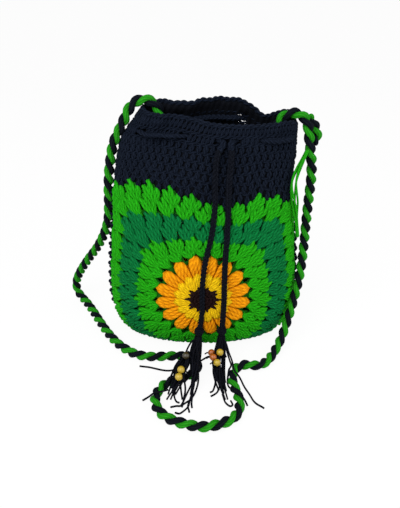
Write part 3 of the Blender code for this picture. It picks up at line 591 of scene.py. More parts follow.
# sunflower squares
square = {
    "flowerRadius": 0.061,
    "clusters": (6, 8, 10),
    "clusterRise": 0.0045,
    "topRise": 0.006,
    "posts": (-1.0, 0.0, 1.0),
    "foot": 0.085,         # spread of a cluster's posts at its foot, in clusters
    "head": 0.33,
    "dip": 0.0055,         # of a foot between the tips of the round before
    "tip": (0.7, 0.001),   # a post's end: share of the tips' rise, less metres
    "fanCurve": 1.3,
    "dipCurve": 1.5,
    "depth": 0.0030,
    "bulge": 0.0034,
    "swell": 0.7,
    "uneven": (0.0006, 37.0),  # metres, and how fast it changes from cluster to cluster
    "flat": 0.55,
    "yarnRadius": 0.0023,
    "reach": 0.0021,       # of a post's two yarns from its middle
    "twist": 0.7,
    "places": (0, 0.06, 0.2, 0.36, 0.52, 0.68, 0.84, 0.95, 1.0),
    "widths": (0.5, 0.74, 0.82, 0.92, 1.0, 1.08, 1.1, 0.96, 0.5),
    "sheetDepths": (0.0018, 0.0030),
    "sheetEdge": 0.0015,
    "sheetFeet": (0.006, 0.001, 0.001),
    "sheetColumns": 12,    # to a cluster
    "sheetRows": 8,
    "openings": (2.2, 1.1),    # half widths in columns, in the rows above each half's feet
}
# rise of the square's upper border from the left seam to the right one, as the bag sags
border = {
    "places": (-1.0, -0.9, -0.7, -0.5, -0.3, -0.1, 0.1, 0.3, 0.5, 0.7, 0.9, 1.0),
    "lifts": (0.010, 0.015, 0.024, 0.026, 0.021, 0.013, 0.004, 0.000, 0.010, 0.004, -0.011,
              -0.015),
}
up = shoulderLength - flowerLength
down = flowerLength


def borderLift(across):
    # straight lines between the border's lifts
    return np.interp(across, border["places"], border["lifts"])


def squarePlace(turn, growth):
    # quarter sides counted by turn; growth 0 is the flower's circle and 1 the square's edge
    turn, growth = np.broadcast_arrays(np.asarray(turn, float), np.asarray(growth, float))
    quarter = np.floor(turn).astype(int) % 4
    edge = 2 * (turn - np.floor(turn)) - 1
    side = np.ones_like(edge)
    flatX = np.choose(quarter, [side, -edge, -side, edge])
    flatY = np.choose(quarter, [edge, side, -edge, -side])
    a = (turn - 0.5) * math.pi / 2
    circleReach = (1 - growth) * square["flowerRadius"]
    x = circleReach * np.cos(a) + growth * halfSpan * flatX
    y = circleReach * np.sin(a) + growth * np.where(flatY > 0, up, down) * flatY
    above = np.clip((y - square["flowerRadius"]) / (up - square["flowerRadius"]), 0, 1)
    return x, y + above * borderLift(x / halfSpan)


def wave(share):
    # -1 at 0, 1 in the middle and -1 at 1
    return 1 - 2 * np.abs(2 * (share % 1) - 1)


def roundEdge(turn, index, half=1):
    # rise of a round's outer edge in metres: tips over the clusters, dips between them
    if index < 0:
        return 0 * turn
    if index < 2 or not half:
        return square["clusterRise"] * wave(turn * square["clusters"][index] + 0.5 * (1 - half))
    # the last round rises only along the top, where the band's forty cells meet it
    return np.where((turn >= 1) & (turn <= 2), wave((2 - turn) * 10) * square["topRise"], 0)


def onSquare(turn, growth, side, outward, rise=0.0):
    # a place of the square on the bag; rise in metres is added to the growth
    x, y = squarePlace(turn, growth + rise / (up - square["flowerRadius"]))
    return bagPoint(np.clip(x / halfSpan, -1, 1), flowerLength + y, side, outward)


def postYarns(work, middle, normal, look, t, sides=8, size=(1.0, 1.0)):
    # a stitch is two yarns wound round its own middle line
    along = unit(np.gradient(middle, axis=-2))
    across = unit(np.cross(along, normal))
    widths, reach = np.array(look["widths"]), look["reach"] * size[0]
    for k in range(2):
        w = 2 * math.pi * (look["twist"] * (t - 0.5)) + k * math.pi
        path = (middle + reach * (widths * np.cos(w))[:, None] * across
                + look["flat"] * reach * np.sin(w)[:, None] * normal)
        work.tubes(path.reshape(-1, len(t), 3), normal.reshape(-1, len(t), 3),
                   look["yarnRadius"] * size[1] * widths, sides)


def clusterRound(work, index, half, side):
    # a round of clusters: posts fan out from one foot between the tips of the round before
    clusters = square["clusters"][index]
    middle = ((np.arange(4 * clusters) + 0.5 * half) / clusters)[:, None, None]
    t = np.array(square["places"])
    fan = np.sin(t * math.pi / 2) ** square["fanCurve"]
    fan = square["foot"] + (square["head"] - square["foot"]) * fan
    turn = middle + np.array(square["posts"])[:, None] * fan / clusters
    growth = (index + half / 2) / 3 + t / 6
    share, less = square["tip"]
    dip = square["dip"] if index or half else 0.0
    rise = ((share * roundEdge(turn, index, half) - less) * t ** 2
            - dip * (1 - t) ** square["dipCurve"])
    uneven, pace = square["uneven"]
    bulge = (square["bulge"] * np.sin(math.pi * t) ** square["swell"] - square["depth"]
             + uneven * np.sin(middle * pace))
    path, normal = onSquare(turn, growth, side, bulge + 0 * turn, rise)
    postYarns(work, path, normal, square, t)


def roundSheet(work, index, side):
    # thin fabric behind the stitches, painted in the yarn's darker copy as shade, with an open
    # space beside each cluster's foot
    columns, rows = square["sheetColumns"], square["sheetRows"]
    turns, shares = np.meshgrid(np.arange(4 * square["clusters"][index] * columns)
                                / (square["clusters"][index] * columns),
                                np.linspace(0, 1, rows + 1), indexing="ij")
    rise = ((roundEdge(turns, index) - square["sheetEdge"]) * shares
            + (roundEdge(turns, index - 1) - square["sheetFeet"][index]) * (1 - shares))

    def shut(i, j):
        # triangles between the feet are open: wide in the first row of each half, then narrow
        far = np.abs((i + 0.5) % columns - columns / 2)
        far = np.where(j < rows // 2, far, columns / 2 - far)
        wide, narrow = square["openings"]
        gap = (j % (rows // 2) == 1) & (far < wide) | (j % (rows // 2) == 2) & (far < narrow)
        return ~gap | (side > 0)    # the back square is lined, so no light shows through both

    work.lining(lambda outward: onSquare(turns, (index + shares) / 3, side, outward, rise)[0],
                (len(turns), rows), square["sheetDepths"],
                stacked(*squarePlace(turns, (index + shares) / 3)), 1, side < 0, shut)


def polarPlace(angle, radius, side, outward):
    # flower's middle + radius x (cos angle, sin angle), on the bag
    return bagPoint(np.clip(radius * np.cos(angle) / halfSpan, -1, 1),
                    flowerLength + radius * np.sin(angle), side, outward)


def discSheet(work, side, inner, outer, depth, thick=0.0014, columns=96, rows=6):
    # a flat ring of fabric behind the petals
    turns, radii = np.meshgrid(circle(columns), np.linspace(inner, outer, rows + 1),
                               indexing="ij")
    work.lining(lambda outward: polarPlace(turns, radii, side, outward)[0], (columns, rows),
                (depth, depth + thick), stacked(turns, radii), flipped=side < 0)


flower = {
    "petals": 16,
    "rings": {
        "yellow": ("yellow", {
            "yarns": 3, "inner": 0.006, "outer": 0.038, "notch": 0.005, "radius": 0.0031,
            "bulge": 0.0018, "close": 0.35, "depth": 0.0016}, (0.001, 0.033, 0.0022)),
        "petals": ("orange", {
            "yarns": 3, "inner": 0.0285, "outer": 0.062, "notch": 0.005, "radius": 0.0043,
            "bulge": 0.0026, "close": 0.84, "depth": 0.0034}, (0.029, 0.0570, 0.0030)),
    },
    "bobbles": ((0.0, 1, 0.0036), (0.0052, 7, 0.0034), (0.0106, 14, 0.0033), (0.0146, 20, 0.0028)),
    "bobbleLift": 0.0006,
    "bobbleTurn": 400,         # of a ring, to a metre of its reach
    "petalSteps": 9,
    "petalFill": 0.94,         # of a petal's width that its yarns take up
    "petalCurves": (2.2, 4, 1.4, 0.8),     # powers: tips, closing, where it swells, how round
    "petalWidths": (0.35, 1.10),
    "petalEnds": (0.9, 0.72),  # from where on a yarn thins, and to what share
    "spikes": 16,
    "spikeSteps": 8,
    "spikeCurve": 0.8,
    "spikeSway": (0.25, 2.3),
    "spikeFoot": 0.013,
    "spikeLengths": (0.0275, 0.0225, 0.0260, 0.0215),
    "spikeRadii": (0.0029, 0.0003),
    "spikeLifts": (0.0020, 0.0012),
}


def petalYarns(work, side, yarns, inner, outer, notch, radius, bulge, close, depth):
    # each petal's yarns run out from the middle, swell, and draw together at its tip
    place = (np.arange(yarns) + 0.5) / yarns * 2 - 1
    t = np.linspace(0, 1, flower["petalSteps"])
    atTip, closing, along, swell = flower["petalCurves"]
    tip = outer - notch * np.abs(place) ** atTip
    spread = place[:, None] * (1 - close * t ** closing) * flower["petalFill"]
    petal = np.arange(flower["petals"])[:, None, None]
    angle = (petal + 0.5 + 0.5 * spread[None]) * 2 * math.pi / flower["petals"]
    path, normal = polarPlace(angle, inner + (tip[:, None] - inner) * t, side,
                              -depth + bulge * np.sin(math.pi * t ** along) ** swell + 0 * angle)
    thin, thick = flower["petalWidths"]
    place, share = flower["petalEnds"]
    width = radius * (thin + (thick - thin) * t) * np.where(t > place, share, 1.0)
    for row in range(yarns):
        work.tubes(path[:, row], normal[:, row], width)


ball = {"sides": 10, "rings": 7, "poles": 0.96, "patch": 0.02}


def sphereAt(work, centres, radius):
    # centre + radius x (cos b cos a, cos b sin a, sin b), for many bobbles at once
    sides, last = ball["sides"], ball["rings"] - 1
    a = circle(sides)
    b = np.linspace(-math.pi / 2 * ball["poles"], math.pi / 2 * ball["poles"], last + 1)[:, None]
    ring = stacked(np.cos(b) * np.cos(a), np.cos(b) * np.sin(a), np.sin(b)).reshape(-1, 3)
    i, j = cells(last, sides)
    after = (j + 1) % sides
    quads = stacked(i * sides + j, i * sides + after, (i + 1) * sides + after, (i + 1) * sides + j)
    uv = stacked(stacked(j, j + 1, j + 1, j) / sides * ball["patch"],
                 stacked(i, i, i + 1, i + 1) / last)
    caps = np.stack([np.arange(sides)[::-1], last * sides + np.arange(sides)])
    for centre in centres:
        start = work.count
        work.add(centre + ring * radius, quads, uv)
        work.close(caps + start)


def flowerCentre(work, side):
    # rings of bobbles at 2 pi x k / count, then spikes that thin out from thick to thin
    for reach, count, radius in flower["bobbles"]:
        angle = circle(count) + reach * flower["bobbleTurn"]
        centre, _ = polarPlace(angle, reach, side, flower["bobbleLift"])
        sphereAt(work, centre, radius)
    k, t = np.arange(flower["spikes"])[:, None], np.linspace(0, 1, flower["spikeSteps"])
    sway, pace = flower["spikeSway"]
    angle = (k + sway * np.sin(k * pace)) * 2 * math.pi / flower["spikes"]
    tips = np.array(flower["spikeLengths"])[k % 4]
    first, last = flower["spikeLifts"]
    path, normal = polarPlace(angle, flower["spikeFoot"] + (tips - flower["spikeFoot"]) * t, side,
                              first + (last - first) * t + 0 * tips)
    thick, thin = flower["spikeRadii"]
    work.tubes(path, normal, (thick - thin) * (1 - t) ** flower["spikeCurve"] + thin)


greens = (("inner_green", "brightGreen", "bright_green"), ("teal_green", "tealGreen", "teal_green"),
          ("outer_green", "brightGreen", "bright_green"))
for face, side in (("front", -1), ("back", 1)):
    work = Work()
    flowerCentre(work, side)
    work.piece(face + "FlowerCentre", ("brown",), "brown", [face + "_flower_centre"])
    for part, (yarn, petals, disc) in flower["rings"].items():
        work = Work()
        petalYarns(work, side, **petals)
        discSheet(work, side, *disc)
        work.piece(face + "Flower" + part.title(), (yarn,), yarn, [face + "_flower_" + part])
    for index, (part, yarn, slot) in enumerate(greens):
        work = Work()
        for half in (0, 1):
            clusterRound(work, index, half, side)
        roundSheet(work, index, side)
        node = face + "_" + part
        # the second material is the yarn's darker copy: painted shade on the sheet behind the
        # stitches
        work.piece(camel(node), (yarn, yarn + "Deep"), slot, [node])
print("squares made")

# joining seam: whipped stitches that bulge out in scallops
seam = {
    "stitch": 0.0052,
    "share": 0.7,          # of a stitch's pitch that one stitch leans over
    "halfWidth": 0.0052,
    "sunk": 0.0016,
    "lifts": (0.0016, 0.0056, 0.0040),
    "softBase": 0.016,
    "radius": 0.0021,
    "steps": 9,
    "swell": 0.8,
    "flattest": 0.05,      # share of the lift that is left on the floor
    "coreRadius": 0.0017,
    "coreDepth": 0.0020,
    "coreSpread": 0.0022,
}


def seamOutline():
    # down the left seam, along the base and up the right seam
    halves = []
    for end in (-1.0, 1.0):
        top = shoulderLength - square["topRise"] + borderLift(end)
        run = np.r_[np.linspace(top, bag["halfDepths"][1], 120),
                    np.linspace(bag["halfDepths"][1], 0, 30)[1:]]
        halves.append(bagSurface(np.full(len(run), end), run, -1)[:, [0, 2]])
    points = np.concatenate([halves[0], halves[1][::-1]])
    return points[np.r_[True, np.diff(travelled(points)) > 1e-6]]


outline = seamOutline()
gone = travelled(outline)
stitches = round(gone[-1] / seam["stitch"])
t = np.linspace(0, 1, seam["steps"])
spots = (np.arange(stitches)[:, None] + 0.5 + seam["share"] * (t - 0.5)) * seam["stitch"]
spots = np.clip(spots, 0, gone[-1])
slope = unit(np.gradient(outline, axis=0))
x, z, outX, outZ = (np.interp(spots, gone, line) for line in
                    (*outline.T, slope[:, 1], -slope[:, 0]))
lift = np.array(seam["lifts"])[np.arange(stitches) % 3][:, None] + seam["sunk"]
lift = lift * np.sin(math.pi * t) ** seam["swell"] - seam["sunk"]
lift = lift * np.clip(z / seam["softBase"], seam["flattest"], 1)
work = Work()
work.tubes(stacked(x + outX * lift, -seam["halfWidth"] * np.cos(math.pi * t), z + outZ * lift),
           stacked(outX, 0, outZ), seam["radius"])
coreOut = stacked(slope[:, 1], 0, -slope[:, 0])
core = stacked(outline[:, 0], 0, outline[:, 1]) - coreOut * seam["coreDepth"]
for k in (-1, 0, 1):
    work.tubes(core + [0, k * seam["coreSpread"], 0], coreOut, seam["coreRadius"])
work.piece("joiningSeamStitches", ("navy",), "navy", ["joining_seam"])
print("seam made")

# gathered top band
band = {
    "cells": 40,
    "roundCells": 82,
    "foldDepth": 0.0022,
    "eyeletDrop": 0.014,
    "eyeletTall": 0.011,
    "eyeletCells": 4,
    "frontEyelet": 20,
    "frontEyeletCells": 5,
    "eyelets": (28, 35, 45, 53, 67, 76, 85, 94),
    "lowRows": 6,
    "levelRows": 3.0,      # rows in which the zigzag levels out
    "posts": 62,
    "topPosts": 96,        # in the rows above lowRows, which are finer
    "lean": 0.25,
    "feet": (0.0030, 0.0006),  # how far the first row's and the others' feet reach down
    "depth": 0.0026,
    "bulge": 0.0020,
    "swell": 0.7,
    "flat": 0.55,
    "yarnRadius": 0.0018,
    "yarnCurve": 0.6,      # how the yarn thins with the finer stitches
    "reach": 0.0019,
    "twist": 1.0,
    "places": (0, 0.07, 0.24, 0.42, 0.6, 0.78, 0.93, 1.0),
    "widths": (0.5, 0.8, 0.95, 1.0, 1.0, 0.95, 0.8, 0.45),
    "sheetDepths": (0.0020, 0.0032),
    "sheetEdges": (0.0035, 0.001),
    "sheetPatch": (0.003, 0.006),
    "chainRadius": 0.0014,
    "chainSwing": (0.0015, 0.0010),
    "chainSides": 6,
    "rimChain": 1.3,
    "sides": 7,
}
eyeletMiddle = rimLength - band["eyeletDrop"] - band["eyeletTall"] / 2
openCells = {band["frontEyelet"] + k for k in range(band["frontEyeletCells"])}
openCells |= {(first + k) % band["roundCells"] for first in band["eyelets"]
              for k in range(1, band["eyeletCells"] - 1)}


def bandPlace(cell, length, outward=0.0):
    # cells count from the left seam across the front, then back across the back, with one cell
    # at each seam, where the place is front x (1 - share) + back x share
    cell, count = np.asarray(cell, float) % band["roundCells"], band["cells"]
    across = 2 * np.where(cell < count + 1, cell, 2 * count + 1 - cell) / count - 1
    across, length, outward = np.broadcast_arrays(np.clip(across, -1, 1), length, outward)
    share = (np.clip(cell - count, 0, 1) - np.clip(cell - 2 * count - 1, 0, 1))[..., None]
    front, frontNormal = bagPoint(across, length, -1, outward)
    back, backNormal = bagPoint(across, length, 1, outward)
    return (front * (1 - share) + back * share,
            unit(frontNormal * (1 - share) + backNormal * share))


def bandFold(cell, length):
    # gathers: foldDepth x share of the way up x (cos(pi/2 x cell) - 1) / 2
    place = np.asarray(cell) % (band["cells"] + 1)
    return band["foldDepth"] * aboveShoulder(length) * (np.cos(place * math.pi / 2) - 1) / 2


rowLevels = np.r_[np.linspace(shoulderLength, eyeletMiddle - band["eyeletTall"] / 2,
                              band["lowRows"] + 1),
                  eyeletMiddle + band["eyeletTall"] / 2, rimLength]
rowCount = len(rowLevels) - 1


def bandLevel(row, cell):
    # rows follow the zigzag and the slope of the green border and level out above it
    cell = np.asarray(cell) % band["roundCells"]
    place = cell % (band["cells"] + 1)
    across = np.clip(2 * place / band["cells"] - 1, -1, 1) * np.where(cell > band["cells"], -1, 1)
    level = np.interp(row, np.arange(rowCount + 1), rowLevels)
    return (level + wave(place / 4) * square["topRise"] * np.clip(1 - row / band["levelRows"], 0, 1)
            + borderLift(across) * np.clip(1 - row / band["lowRows"], 0, 1))


work = Work()
t = np.array(band["places"])
for row in range(rowCount):
    posts = band["posts"] if row < band["lowRows"] else band["topPosts"]
    finer = band["posts"] / posts
    cell = (np.arange(posts) + 0.5 * (row % 2)) * band["roundCells"] / posts
    if row == band["lowRows"]:
        cell = cell[[int(c) not in openCells for c in cell]]
    cell = cell[:, None] + band["lean"] * (t - 0.5)
    length = bandLevel(row + t, cell) - band["feet"][min(row, 1)] * (1 - t)
    bulge = band["bulge"] * np.sin(math.pi * t) ** band["swell"]
    outward = bandFold(cell, length) - band["depth"] + bulge
    path, normal = bandPlace(cell, np.clip(length, 0, rimLength), outward)
    postYarns(work, path, normal, band, t, band["sides"], (finer, finer ** band["yarnCurve"]))
# the sheet behind the band's stitches takes the darker navy: painted shade that shows between the
# stitches
columns, rows = band["roundCells"] * 2, rowCount * 2
i, j = np.meshgrid(np.arange(columns), np.arange(rows + 1), indexing="ij")
level = bandLevel(j / 2, i / 2) - band["sheetEdges"][0] * (j == 0)
level = np.clip(level, 0, rimLength - band["sheetEdges"][1])
work.lining(lambda outward: bandPlace(i / 2, level, bandFold(i / 2, level) + outward)[0],
            (columns, rows), band["sheetDepths"], stacked(i, j) * band["sheetPatch"], 1,
            shut=lambda i, j: ~(np.isin(i // 2, list(openCells)) & (j // 2 == band["lowRows"])))
work.piece("topBandStitches", ("navy", "navyDeep"), "navy", ["top_band"])

work = Work()
cell = np.linspace(0, band["roundCells"], band["posts"] * 6 + 1)
for row in range(1, rowCount + 1):
    length = np.clip(bandLevel(row, cell), 0, rimLength)
    path, normal = bandPlace(cell, length, bandFold(cell, length) - band["chainRadius"])
    across = unit(np.cross(unit(np.gradient(path, axis=0)), normal))
    radius = band["chainRadius"] * (band["rimChain"] if row == rowCount else 1)
    wide, deep = band["chainSwing"]
    for k in range(2):
        w = (math.pi * (np.linspace(0, 1, len(cell)) * band["posts"] + k + 0.5 * row))[:, None]
        work.tubes(path + wide * np.cos(w) * across + deep * np.sin(w) * normal, normal, radius,
                   band["chainSides"])
work.piece("topBandRowEdges", ("navy",), "navy")
print("band made")


# drawstring: a crochet chain in three pieces, as the solids have it
drawstring = {
    "diameter": 0.006,
    "lift": 0.0020,
    "sink": 0.0018,
    "exits": (0.14, 0.32),
    "reaches": (0.6, 0.25),    # in cells past the front eyelet's edge and past the others'
    "spacing": 0.0012,
    "up": (0.1, -1, 0.2),
    "yarns": 3,
    "reach": 0.0021,
    "pitch": 0.0170,
    "flat": 0.45,
    "yarnRadius": 0.0018,
    "sides": 7,
}


def drawstringRound():
    # through the band's eyelets, from the front right of the exit round to its front left
    half = drawstring["diameter"] / 2
    clear = half + drawstring["lift"]
    deep = -bag["wall"] - half - drawstring["sink"] - band["foldDepth"]
    wide = band["frontEyeletCells"]
    first = band["frontEyelet"] + wide / 2
    last = first + band["roundCells"]
    frontReach = wide / 2 + drawstring["reaches"][0]
    reach = band["eyeletCells"] / 2 + drawstring["reaches"][1]
    exits = np.array(drawstring["exits"]) * wide
    # between two eyelets it runs behind the band and in front of it by turns
    centres = [eyelet + band["eyeletCells"] / 2 for eyelet in band["eyelets"]]
    starts = [first + frontReach, *(centre + reach for centre in centres)]
    ends = [*(centre - reach for centre in centres), last - frontReach]
    places = [(first + exits[0], half), (first + exits[1], deep / 2)]
    for k, (start, end) in enumerate(zip(starts, ends)):
        cell = np.linspace(start, end, max(2, round((end - start) / 2)) + 1)
        places += [(c, clear if k % 2 else deep) for c in cell]
        places += [(centre, -bag["wall"] / 2) for centre in centres[k:k + 1]]
    places += [(last - exits[1], deep / 2), (last - exits[0], half)]
    cell, offset = np.array(places).T
    wall = bandPlace(cell, eyeletMiddle, -bag["wall"] / 2)[0]
    way = bandPlace(cell, eyeletMiddle, bag["wall"] / 2)[0] - wall
    way[:, 2] = 0
    return wall + unit(way) * (offset[:, None] + bag["wall"] / 2)


runs = {
    "Round": ("drawstring_round", "navy", np.vstack([
        routes["leftEnd"][-1:], drawstringRound()[::-1], routes["rightEnd"][:1]])),
    "Left": ("drawstring_end_left", "cord", routes["leftEnd"]),
    "Right": ("drawstring_end_right", "cord", routes["rightEnd"]),
}
runPoints, runPieces = {}, {}
for run, (node, yarn, route) in runs.items():
    # three yarns plaited: each swings across once and over twice in a pitch
    runPoints[run] = routeCurve(route, drawstring["spacing"])
    paths, ups = wound(runPoints[run], drawstring["up"], drawstring["reach"], drawstring["pitch"],
                       drawstring["yarns"], 0.0, drawstring["flat"], 2.0)
    work = Work()
    for path in paths:
        work.tubes(path, ups, drawstring["yarnRadius"], drawstring["sides"])
    runPieces[run] = work.piece("drawstring" + run + "Chain", (yarn,), "navy", [node])
print("drawstring made")

# knots: yarn wrapped round and round a ball
knots = {
    "turns": 7.0,
    "steps": 26,
    "poles": 0.46,
    "gap": 0.0003,
    "inner": 0.16,         # how much closer in the second spiral runs
    "uneven": 0.08,
    "filled": 1.4,         # yarns from the outside to the filled middle
    "sides": 7,
    "tassel": {"half": 0.006, "radius": 0.0066, "yarn": 0.0012},
    "strap": {"half": 0.0085, "radius": 0.0088, "yarn": 0.0021},
}


def knotPiece(name, end, way, size, yarns, node):
    # two spirals from pole to pole, about crossed axes, over a filled middle
    centre = end + way * (size["half"] + knots["gap"])
    t = np.linspace(0, 1, int(knots["turns"] * knots["steps"]))
    rise = math.pi * knots["poles"] * (2 * t - 1)
    turn = 2 * math.pi * knots["turns"] * t
    spiral = stacked(np.cos(rise) * np.cos(turn), np.cos(rise) * np.sin(turn), np.sin(rise))
    work = Work()
    for k, order in enumerate(((0, 1, 2), (2, 0, 1))):
        out = spiral[:, order]
        reach = 1 - knots["inner"] * k + knots["uneven"] * np.sin(3 * turn)
        reach = (size["radius"] - size["yarn"]) * reach[:, None]
        work.tubes(centre + out * reach, out, size["yarn"], knots["sides"], k % len(yarns))
    sphereAt(work, np.array([centre]), size["radius"] - knots["filled"] * size["yarn"])
    return work.piece(name, yarns, "navy", [node])


for side, (before, last), strapSpot in (("left", routes["leftEnd"][1::-1], routes["strap"][0]),
                                        ("right", routes["rightEnd"][-2:], routes["strap"][-1])):
    knotPiece("tasselKnot" + side.title(), last, unit(last - before),
                                 knots["tassel"], ("tassel",), "tassel_knot_" + side)
    knotPiece(
        "strapKnot" + side.title(), strapSpot, np.array([0, 0, -1]), knots["strap"],
        ("ropeNavy", "ropeGreen"), "strap_knot_" + side)
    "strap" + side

# tassels: bundles of yarn with frayed, uneven ends
strands = {
    "step": 0.0008,
    "looseStep": 0.0015,
    "radius": 0.00115,
    "sides": 5,
    "steps": 26,
    "golden": 2.39996,
    "sway": 0.96,
    "ragged": (0.08, 4.7),     # of a strand's length, and how fast it changes
    "long": (0.2, 7, 5),       # longer by this share, every seventh strand from the fifth
    "loosen": (0.25, 2.1),
    "looseRadius": 0.001242,
    "looseSides": 6,
    "looseSway": (0.0003, 0.35),
    "up": (0.1, 0.2, 1.0),
    "bundleUp": (0.0, 0.2, 1.0),
}
# bundle: points of the middle and its radius; loose: strands on their own; tenths of a millimetre
tassels = {
    "tassel_left": {
        "strands": 26, "gather": 1.0, "ends": 0.70,
        "bundle": (
            (-56, -778, 358, 38), (-78, -830, 275, 58), (-95, -930, 222, 72),
            (-100, -1080, 216, 77), (-105, -1210, 208, 66), (-120, -1340, 155, 50),
            (-140, -1460, 75, 35), (-150, -1530, 30, 22),
        ),
        "loose": (
            ((-85, -800, 330), (-160, -840, 300), (-240, -920, 150), (-300, -1010, 30),
             (-450, -1070, 12), (-620, -1030, 12), (-840, -980, 12)),
            ((-120, -1340, 130), (-190, -1480, 60), (-240, -1580, 15), (-275, -1660, 12)),
            ((-130, -1420, 80), (-150, -1540, 30), (-185, -1660, 12), (-170, -1760, 12)),
            ((-130, -1400, 80), (-135, -1530, 30), (-140, -1620, 12), (-138, -1690, 12)),
            ((-60, -1260, 180), (-70, -1400, 80), (-140, -1540, 20), (-260, -1650, 12),
             (-330, -1720, 75), (-385, -1770, 120)),
            ((-110, -1380, 100), (-160, -1560, 12), (-190, -1680, 12), (-270, -1770, 12),
             (-335, -1805, 60)),
        ),
    },
    "tassel_left_side": {
        "strands": 20, "gather": 1.55, "ends": 0.80,
        "bundle": (
            (-197, -970, 222, 32), (-235, -1100, 215, 53), (-285, -1240, 210, 62),
            (-330, -1400, 195, 58), (-390, -1530, 125, 45), (-430, -1600, 55, 30),
        ),
        "loose": (
            ((-430, -1520, 145), (-520, -1560, 150), (-600, -1570, 140), (-680, -1565, 60),
             (-750, -1575, 12)),
            ((-340, -1440, 160), (-360, -1530, 80), (-330, -1590, 20), (-290, -1610, 12)),
            ((-300, -1360, 180), (-280, -1450, 110), (-262, -1520, 40), (-258, -1560, 12)),
            ((-235, -1400, 180), (-222, -1500, 90), (-245, -1600, 20), (-262, -1680, 12)),
        ),
    },
    "tassel_right": {
        "strands": 26, "gather": 1.1, "ends": 0.80,
        "bundle": (
            (250, -765, 358, 38), (238, -800, 235, 55), (220, -880, 130, 66),
            (205, -1010, 84, 75), (200, -1160, 80, 77), (215, -1310, 65, 63),
            (255, -1460, 45, 43), (290, -1580, 25, 22),
        ),
        "loose": (
            ((150, -985, 160), (80, -960, 160), (20, -985, 150), (-35, -1030, 150),
             (-75, -1090, 200)),
            ((165, -1250, 80), (150, -1350, 40), (125, -1420, 12), (90, -1440, 12)),
            ((200, -1400, 60), (180, -1450, 30), (140, -1480, 12), (100, -1505, 12)),
            ((270, -780, 360), (305, -850, 250), (350, -980, 120), (370, -1080, 120),
             (330, -1200, 150), (315, -1290, 70), (330, -1400, 60), (400, -1530, 140),
             (480, -1640, 140), (540, -1700, 60)),
            ((265, -790, 350), (320, -860, 260), (370, -990, 160), (395, -1120, 145),
             (410, -1210, 150), (480, -1310, 100), (560, -1440, 20), (640, -1600, 12),
             (740, -1700, 12)),
            ((240, -1500, 45), (270, -1600, 12), (330, -1660, 12), (365, -1640, 12),
             (340, -1580, 12)),
        ),
    },
}


def aboveFloor(points):
    # no strand's middle is lower than its radius
    points[..., 2] = np.maximum(points[..., 2], strands["radius"] + 0.0001)
    return points


for node, tassel in tassels.items():
    # strand = middle + reach x (cos a x across + sin a x up), each at its own angle and share
    table = np.array(tassel["bundle"]) / 10000
    centres = table[:, :3]
    middle = routeCurve(centres, strands["step"])
    gone = np.linspace(0, 1, len(middle))
    stops = travelled(centres)
    wide = np.interp(gone, stops / stops[-1], table[:, 3])
    ups, across = carried(middle, np.array(strands["bundleUp"]))
    paths, upAt = [], []
    ragged, pace = strands["ragged"]
    longer, every, first = strands["long"]
    loosen, loosenPace = strands["loosen"]
    for k in range(tassel["strands"]):
        end = tassel["ends"] + ragged * math.sin(k * pace) + longer * (k % every == first)
        end = min(end, 1.0)
        s = np.linspace(0, end, strands["steps"])
        point, sideways, upward = (
            stacked(*(np.interp(s, gone, line) for line in lines.T)) for lines in
            (middle, across, ups))
        swing = (k * strands["golden"] + strands["sway"] * np.sin(3 * s + k))[:, None]
        reach = np.interp(s, gone, wide) * tassel["gather"]
        reach = reach * (1 + loosen * s * math.sin(k * loosenPace))
        reach = reach[:, None] * math.sqrt((k + 0.5) / tassel["strands"])
        paths.append(point + reach * np.cos(swing) * sideways + reach * np.sin(swing) * upward)
        upAt.append(upward)
    work = Work()
    work.tubes(aboveFloor(np.array(paths)), np.array(upAt), strands["radius"], strands["sides"])
    for strand in tassel["loose"]:
        line = aboveFloor(routeCurve(np.array(strand) / 10000, strands["looseStep"]))
        sway, pace = strands["looseSway"]
        line[:, :2] += sway * np.sin(np.arange(len(line)) * pace)[:, None]
        work.tubes(line, strands["up"], strands["looseRadius"], strands["looseSides"])
    work.piece(camel(node) + "Strands", ("tassel",), "navy", [node])

# wooden beads: circle round the bore, swept from end to end
beads = {
    "radius": 0.0047,
    "bore": 0.0012,
    "sides": 28,
    "steps": 18,
    "boreSteps": 5,
    "left": {"upper": "beadYellow", "lower": "beadYellow", "dark": "beadDark"},
    "right": {"upper": "beadBrown", "middle": "beadBrown", "lower": "beadYellow",
              "side": "beadYellow"},
    "threadRadius": 0.00095,
    "threadSides": 6,
    "threadUp": (0.0, 0.2, 1.0),
    "thread": np.array((        # from the bead's middle
        (-0.0085, 0.0035, -0.0055), (-0.0062, 0.0010, -0.0012), (-0.0040, 0, 0), (0, 0, 0),
        (0.0040, 0, 0), (0.0062, -0.0010, -0.0012), (0.0085, -0.0035, -0.0055))),
}


def beadCentre(node):
    # middle of the solid's box
    low, high = (np.array(corner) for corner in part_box(node))
    return (low + high) / 2


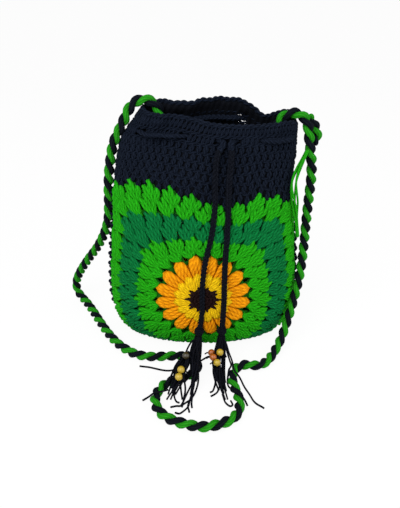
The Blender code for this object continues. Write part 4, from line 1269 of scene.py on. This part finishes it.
start = math.asin(beads["bore"] / beads["radius"])
lift = np.linspace(start, math.pi - start, beads["steps"])
profile = beads["radius"] * stacked(np.cos(lift), np.sin(lift))
inside = np.linspace(profile[-1, 0], profile[0, 0], beads["boreSteps"])[1:-1]
profile = np.vstack([profile, stacked(inside, beads["bore"])])
turn = circle(beads["sides"])[:, None]
ring = stacked(profile[:, 0], profile[:, 1] * np.cos(turn), profile[:, 1] * np.sin(turn))
rows = len(profile)
i, j = cells(beads["sides"], rows)
after, above = (i + 1) % beads["sides"], (j + 1) % rows
quads = stacked(i * rows + j, i * rows + above, after * rows + above, after * rows + j)
threads = {"left": Work(), "right": Work()}
beadPieces = {"left": [], "right": []}
for side in threads:
    for place, colour in beads[side].items():
        node = f"bead_{side}_{place}"
        work = Work()
        work.add(beadCentre(node) + ring.reshape(-1, 3), quads, np.zeros((len(quads), 4, 2)))
        slot = "bead_yellow" if colour == "beadYellow" else "bead_brown"
        beadPieces[side].append(work.piece(camel(node) + "Wood", (colour,), slot, [node]))
        line = routeCurve(beads["thread"] + beadCentre(node), strands["step"])
        threads[side].tubes(line, beads["threadUp"], beads["threadRadius"], beads["threadSides"])
threadPieces = {side: work.piece("beadThreads" + side.title(), ("tassel",), "navy")
                for side, work in threads.items()}
print("tassels and beads made")

# cords: none are made here
print("no cords made")

# floor and lights
floor = {"size": 40.0, "height": -0.0004, "white": 0.93}
bpy.ops.mesh.primitive_plane_add(size=floor["size"], location=(0, 0, floor["height"]))
ground = bpy.context.object
ground.name = "floor"
floorPaint = Paint(bpy.data.materials.new("floor"))
floorPaint.finish(Base_Color=linear("floor"), Roughness=1.0)
white = floorPaint.node("ShaderNodeEmission", values={"Color": (1, 1, 1, 1), "Strength": 1.0})
mixed = floorPaint.node("ShaderNodeMixShader", values={
    0: floorPaint.plainRays() * floor["white"],
    1: Value(floorPaint, floorPaint.shader.outputs[0]), 2: white})
floorPaint.feed(floorPaint.tree.nodes["Material Output"].inputs["Surface"], mixed)
ground.data.materials.append(floorPaint.owner)

light = {
    "world": 0.62,
    "lamps": (      # name, place, size, power
        ("key", (-0.5, -0.7, 1.1), 0.9, 11.0),
        ("fill", (0.9, -0.5, 0.7), 0.8, 4.0),
    ),
}
# the world lights the bag softly and is plain white where the camera sees it
sky = Paint(bpy.data.worlds.new("world"), "Background")
strength = sky.plainRays().maths("MULTIPLY_ADD", 1 - light["world"], light["world"])
bpy.context.scene.world = sky.finish(Color=(1, 1, 1, 1), Strength=strength)
bpy.context.scene.view_settings.view_transform = "Standard"

for name, place, size, power in light["lamps"]:
    lamp = bpy.data.lights.new(name, "AREA")
    lamp.size = size
    lamp.energy = power
    holder = bpy.data.objects.new(name, lamp)
    holder.location = place
    aim = np.array(camera["target"]) - np.array(place)
    flat = math.hypot(aim[0], aim[1])
    holder.rotation_euler = (math.atan2(flat, -aim[2]), 0, math.atan2(aim[1], aim[0]) - math.pi / 2)
    bpy.context.scene.collection.objects.link(holder)
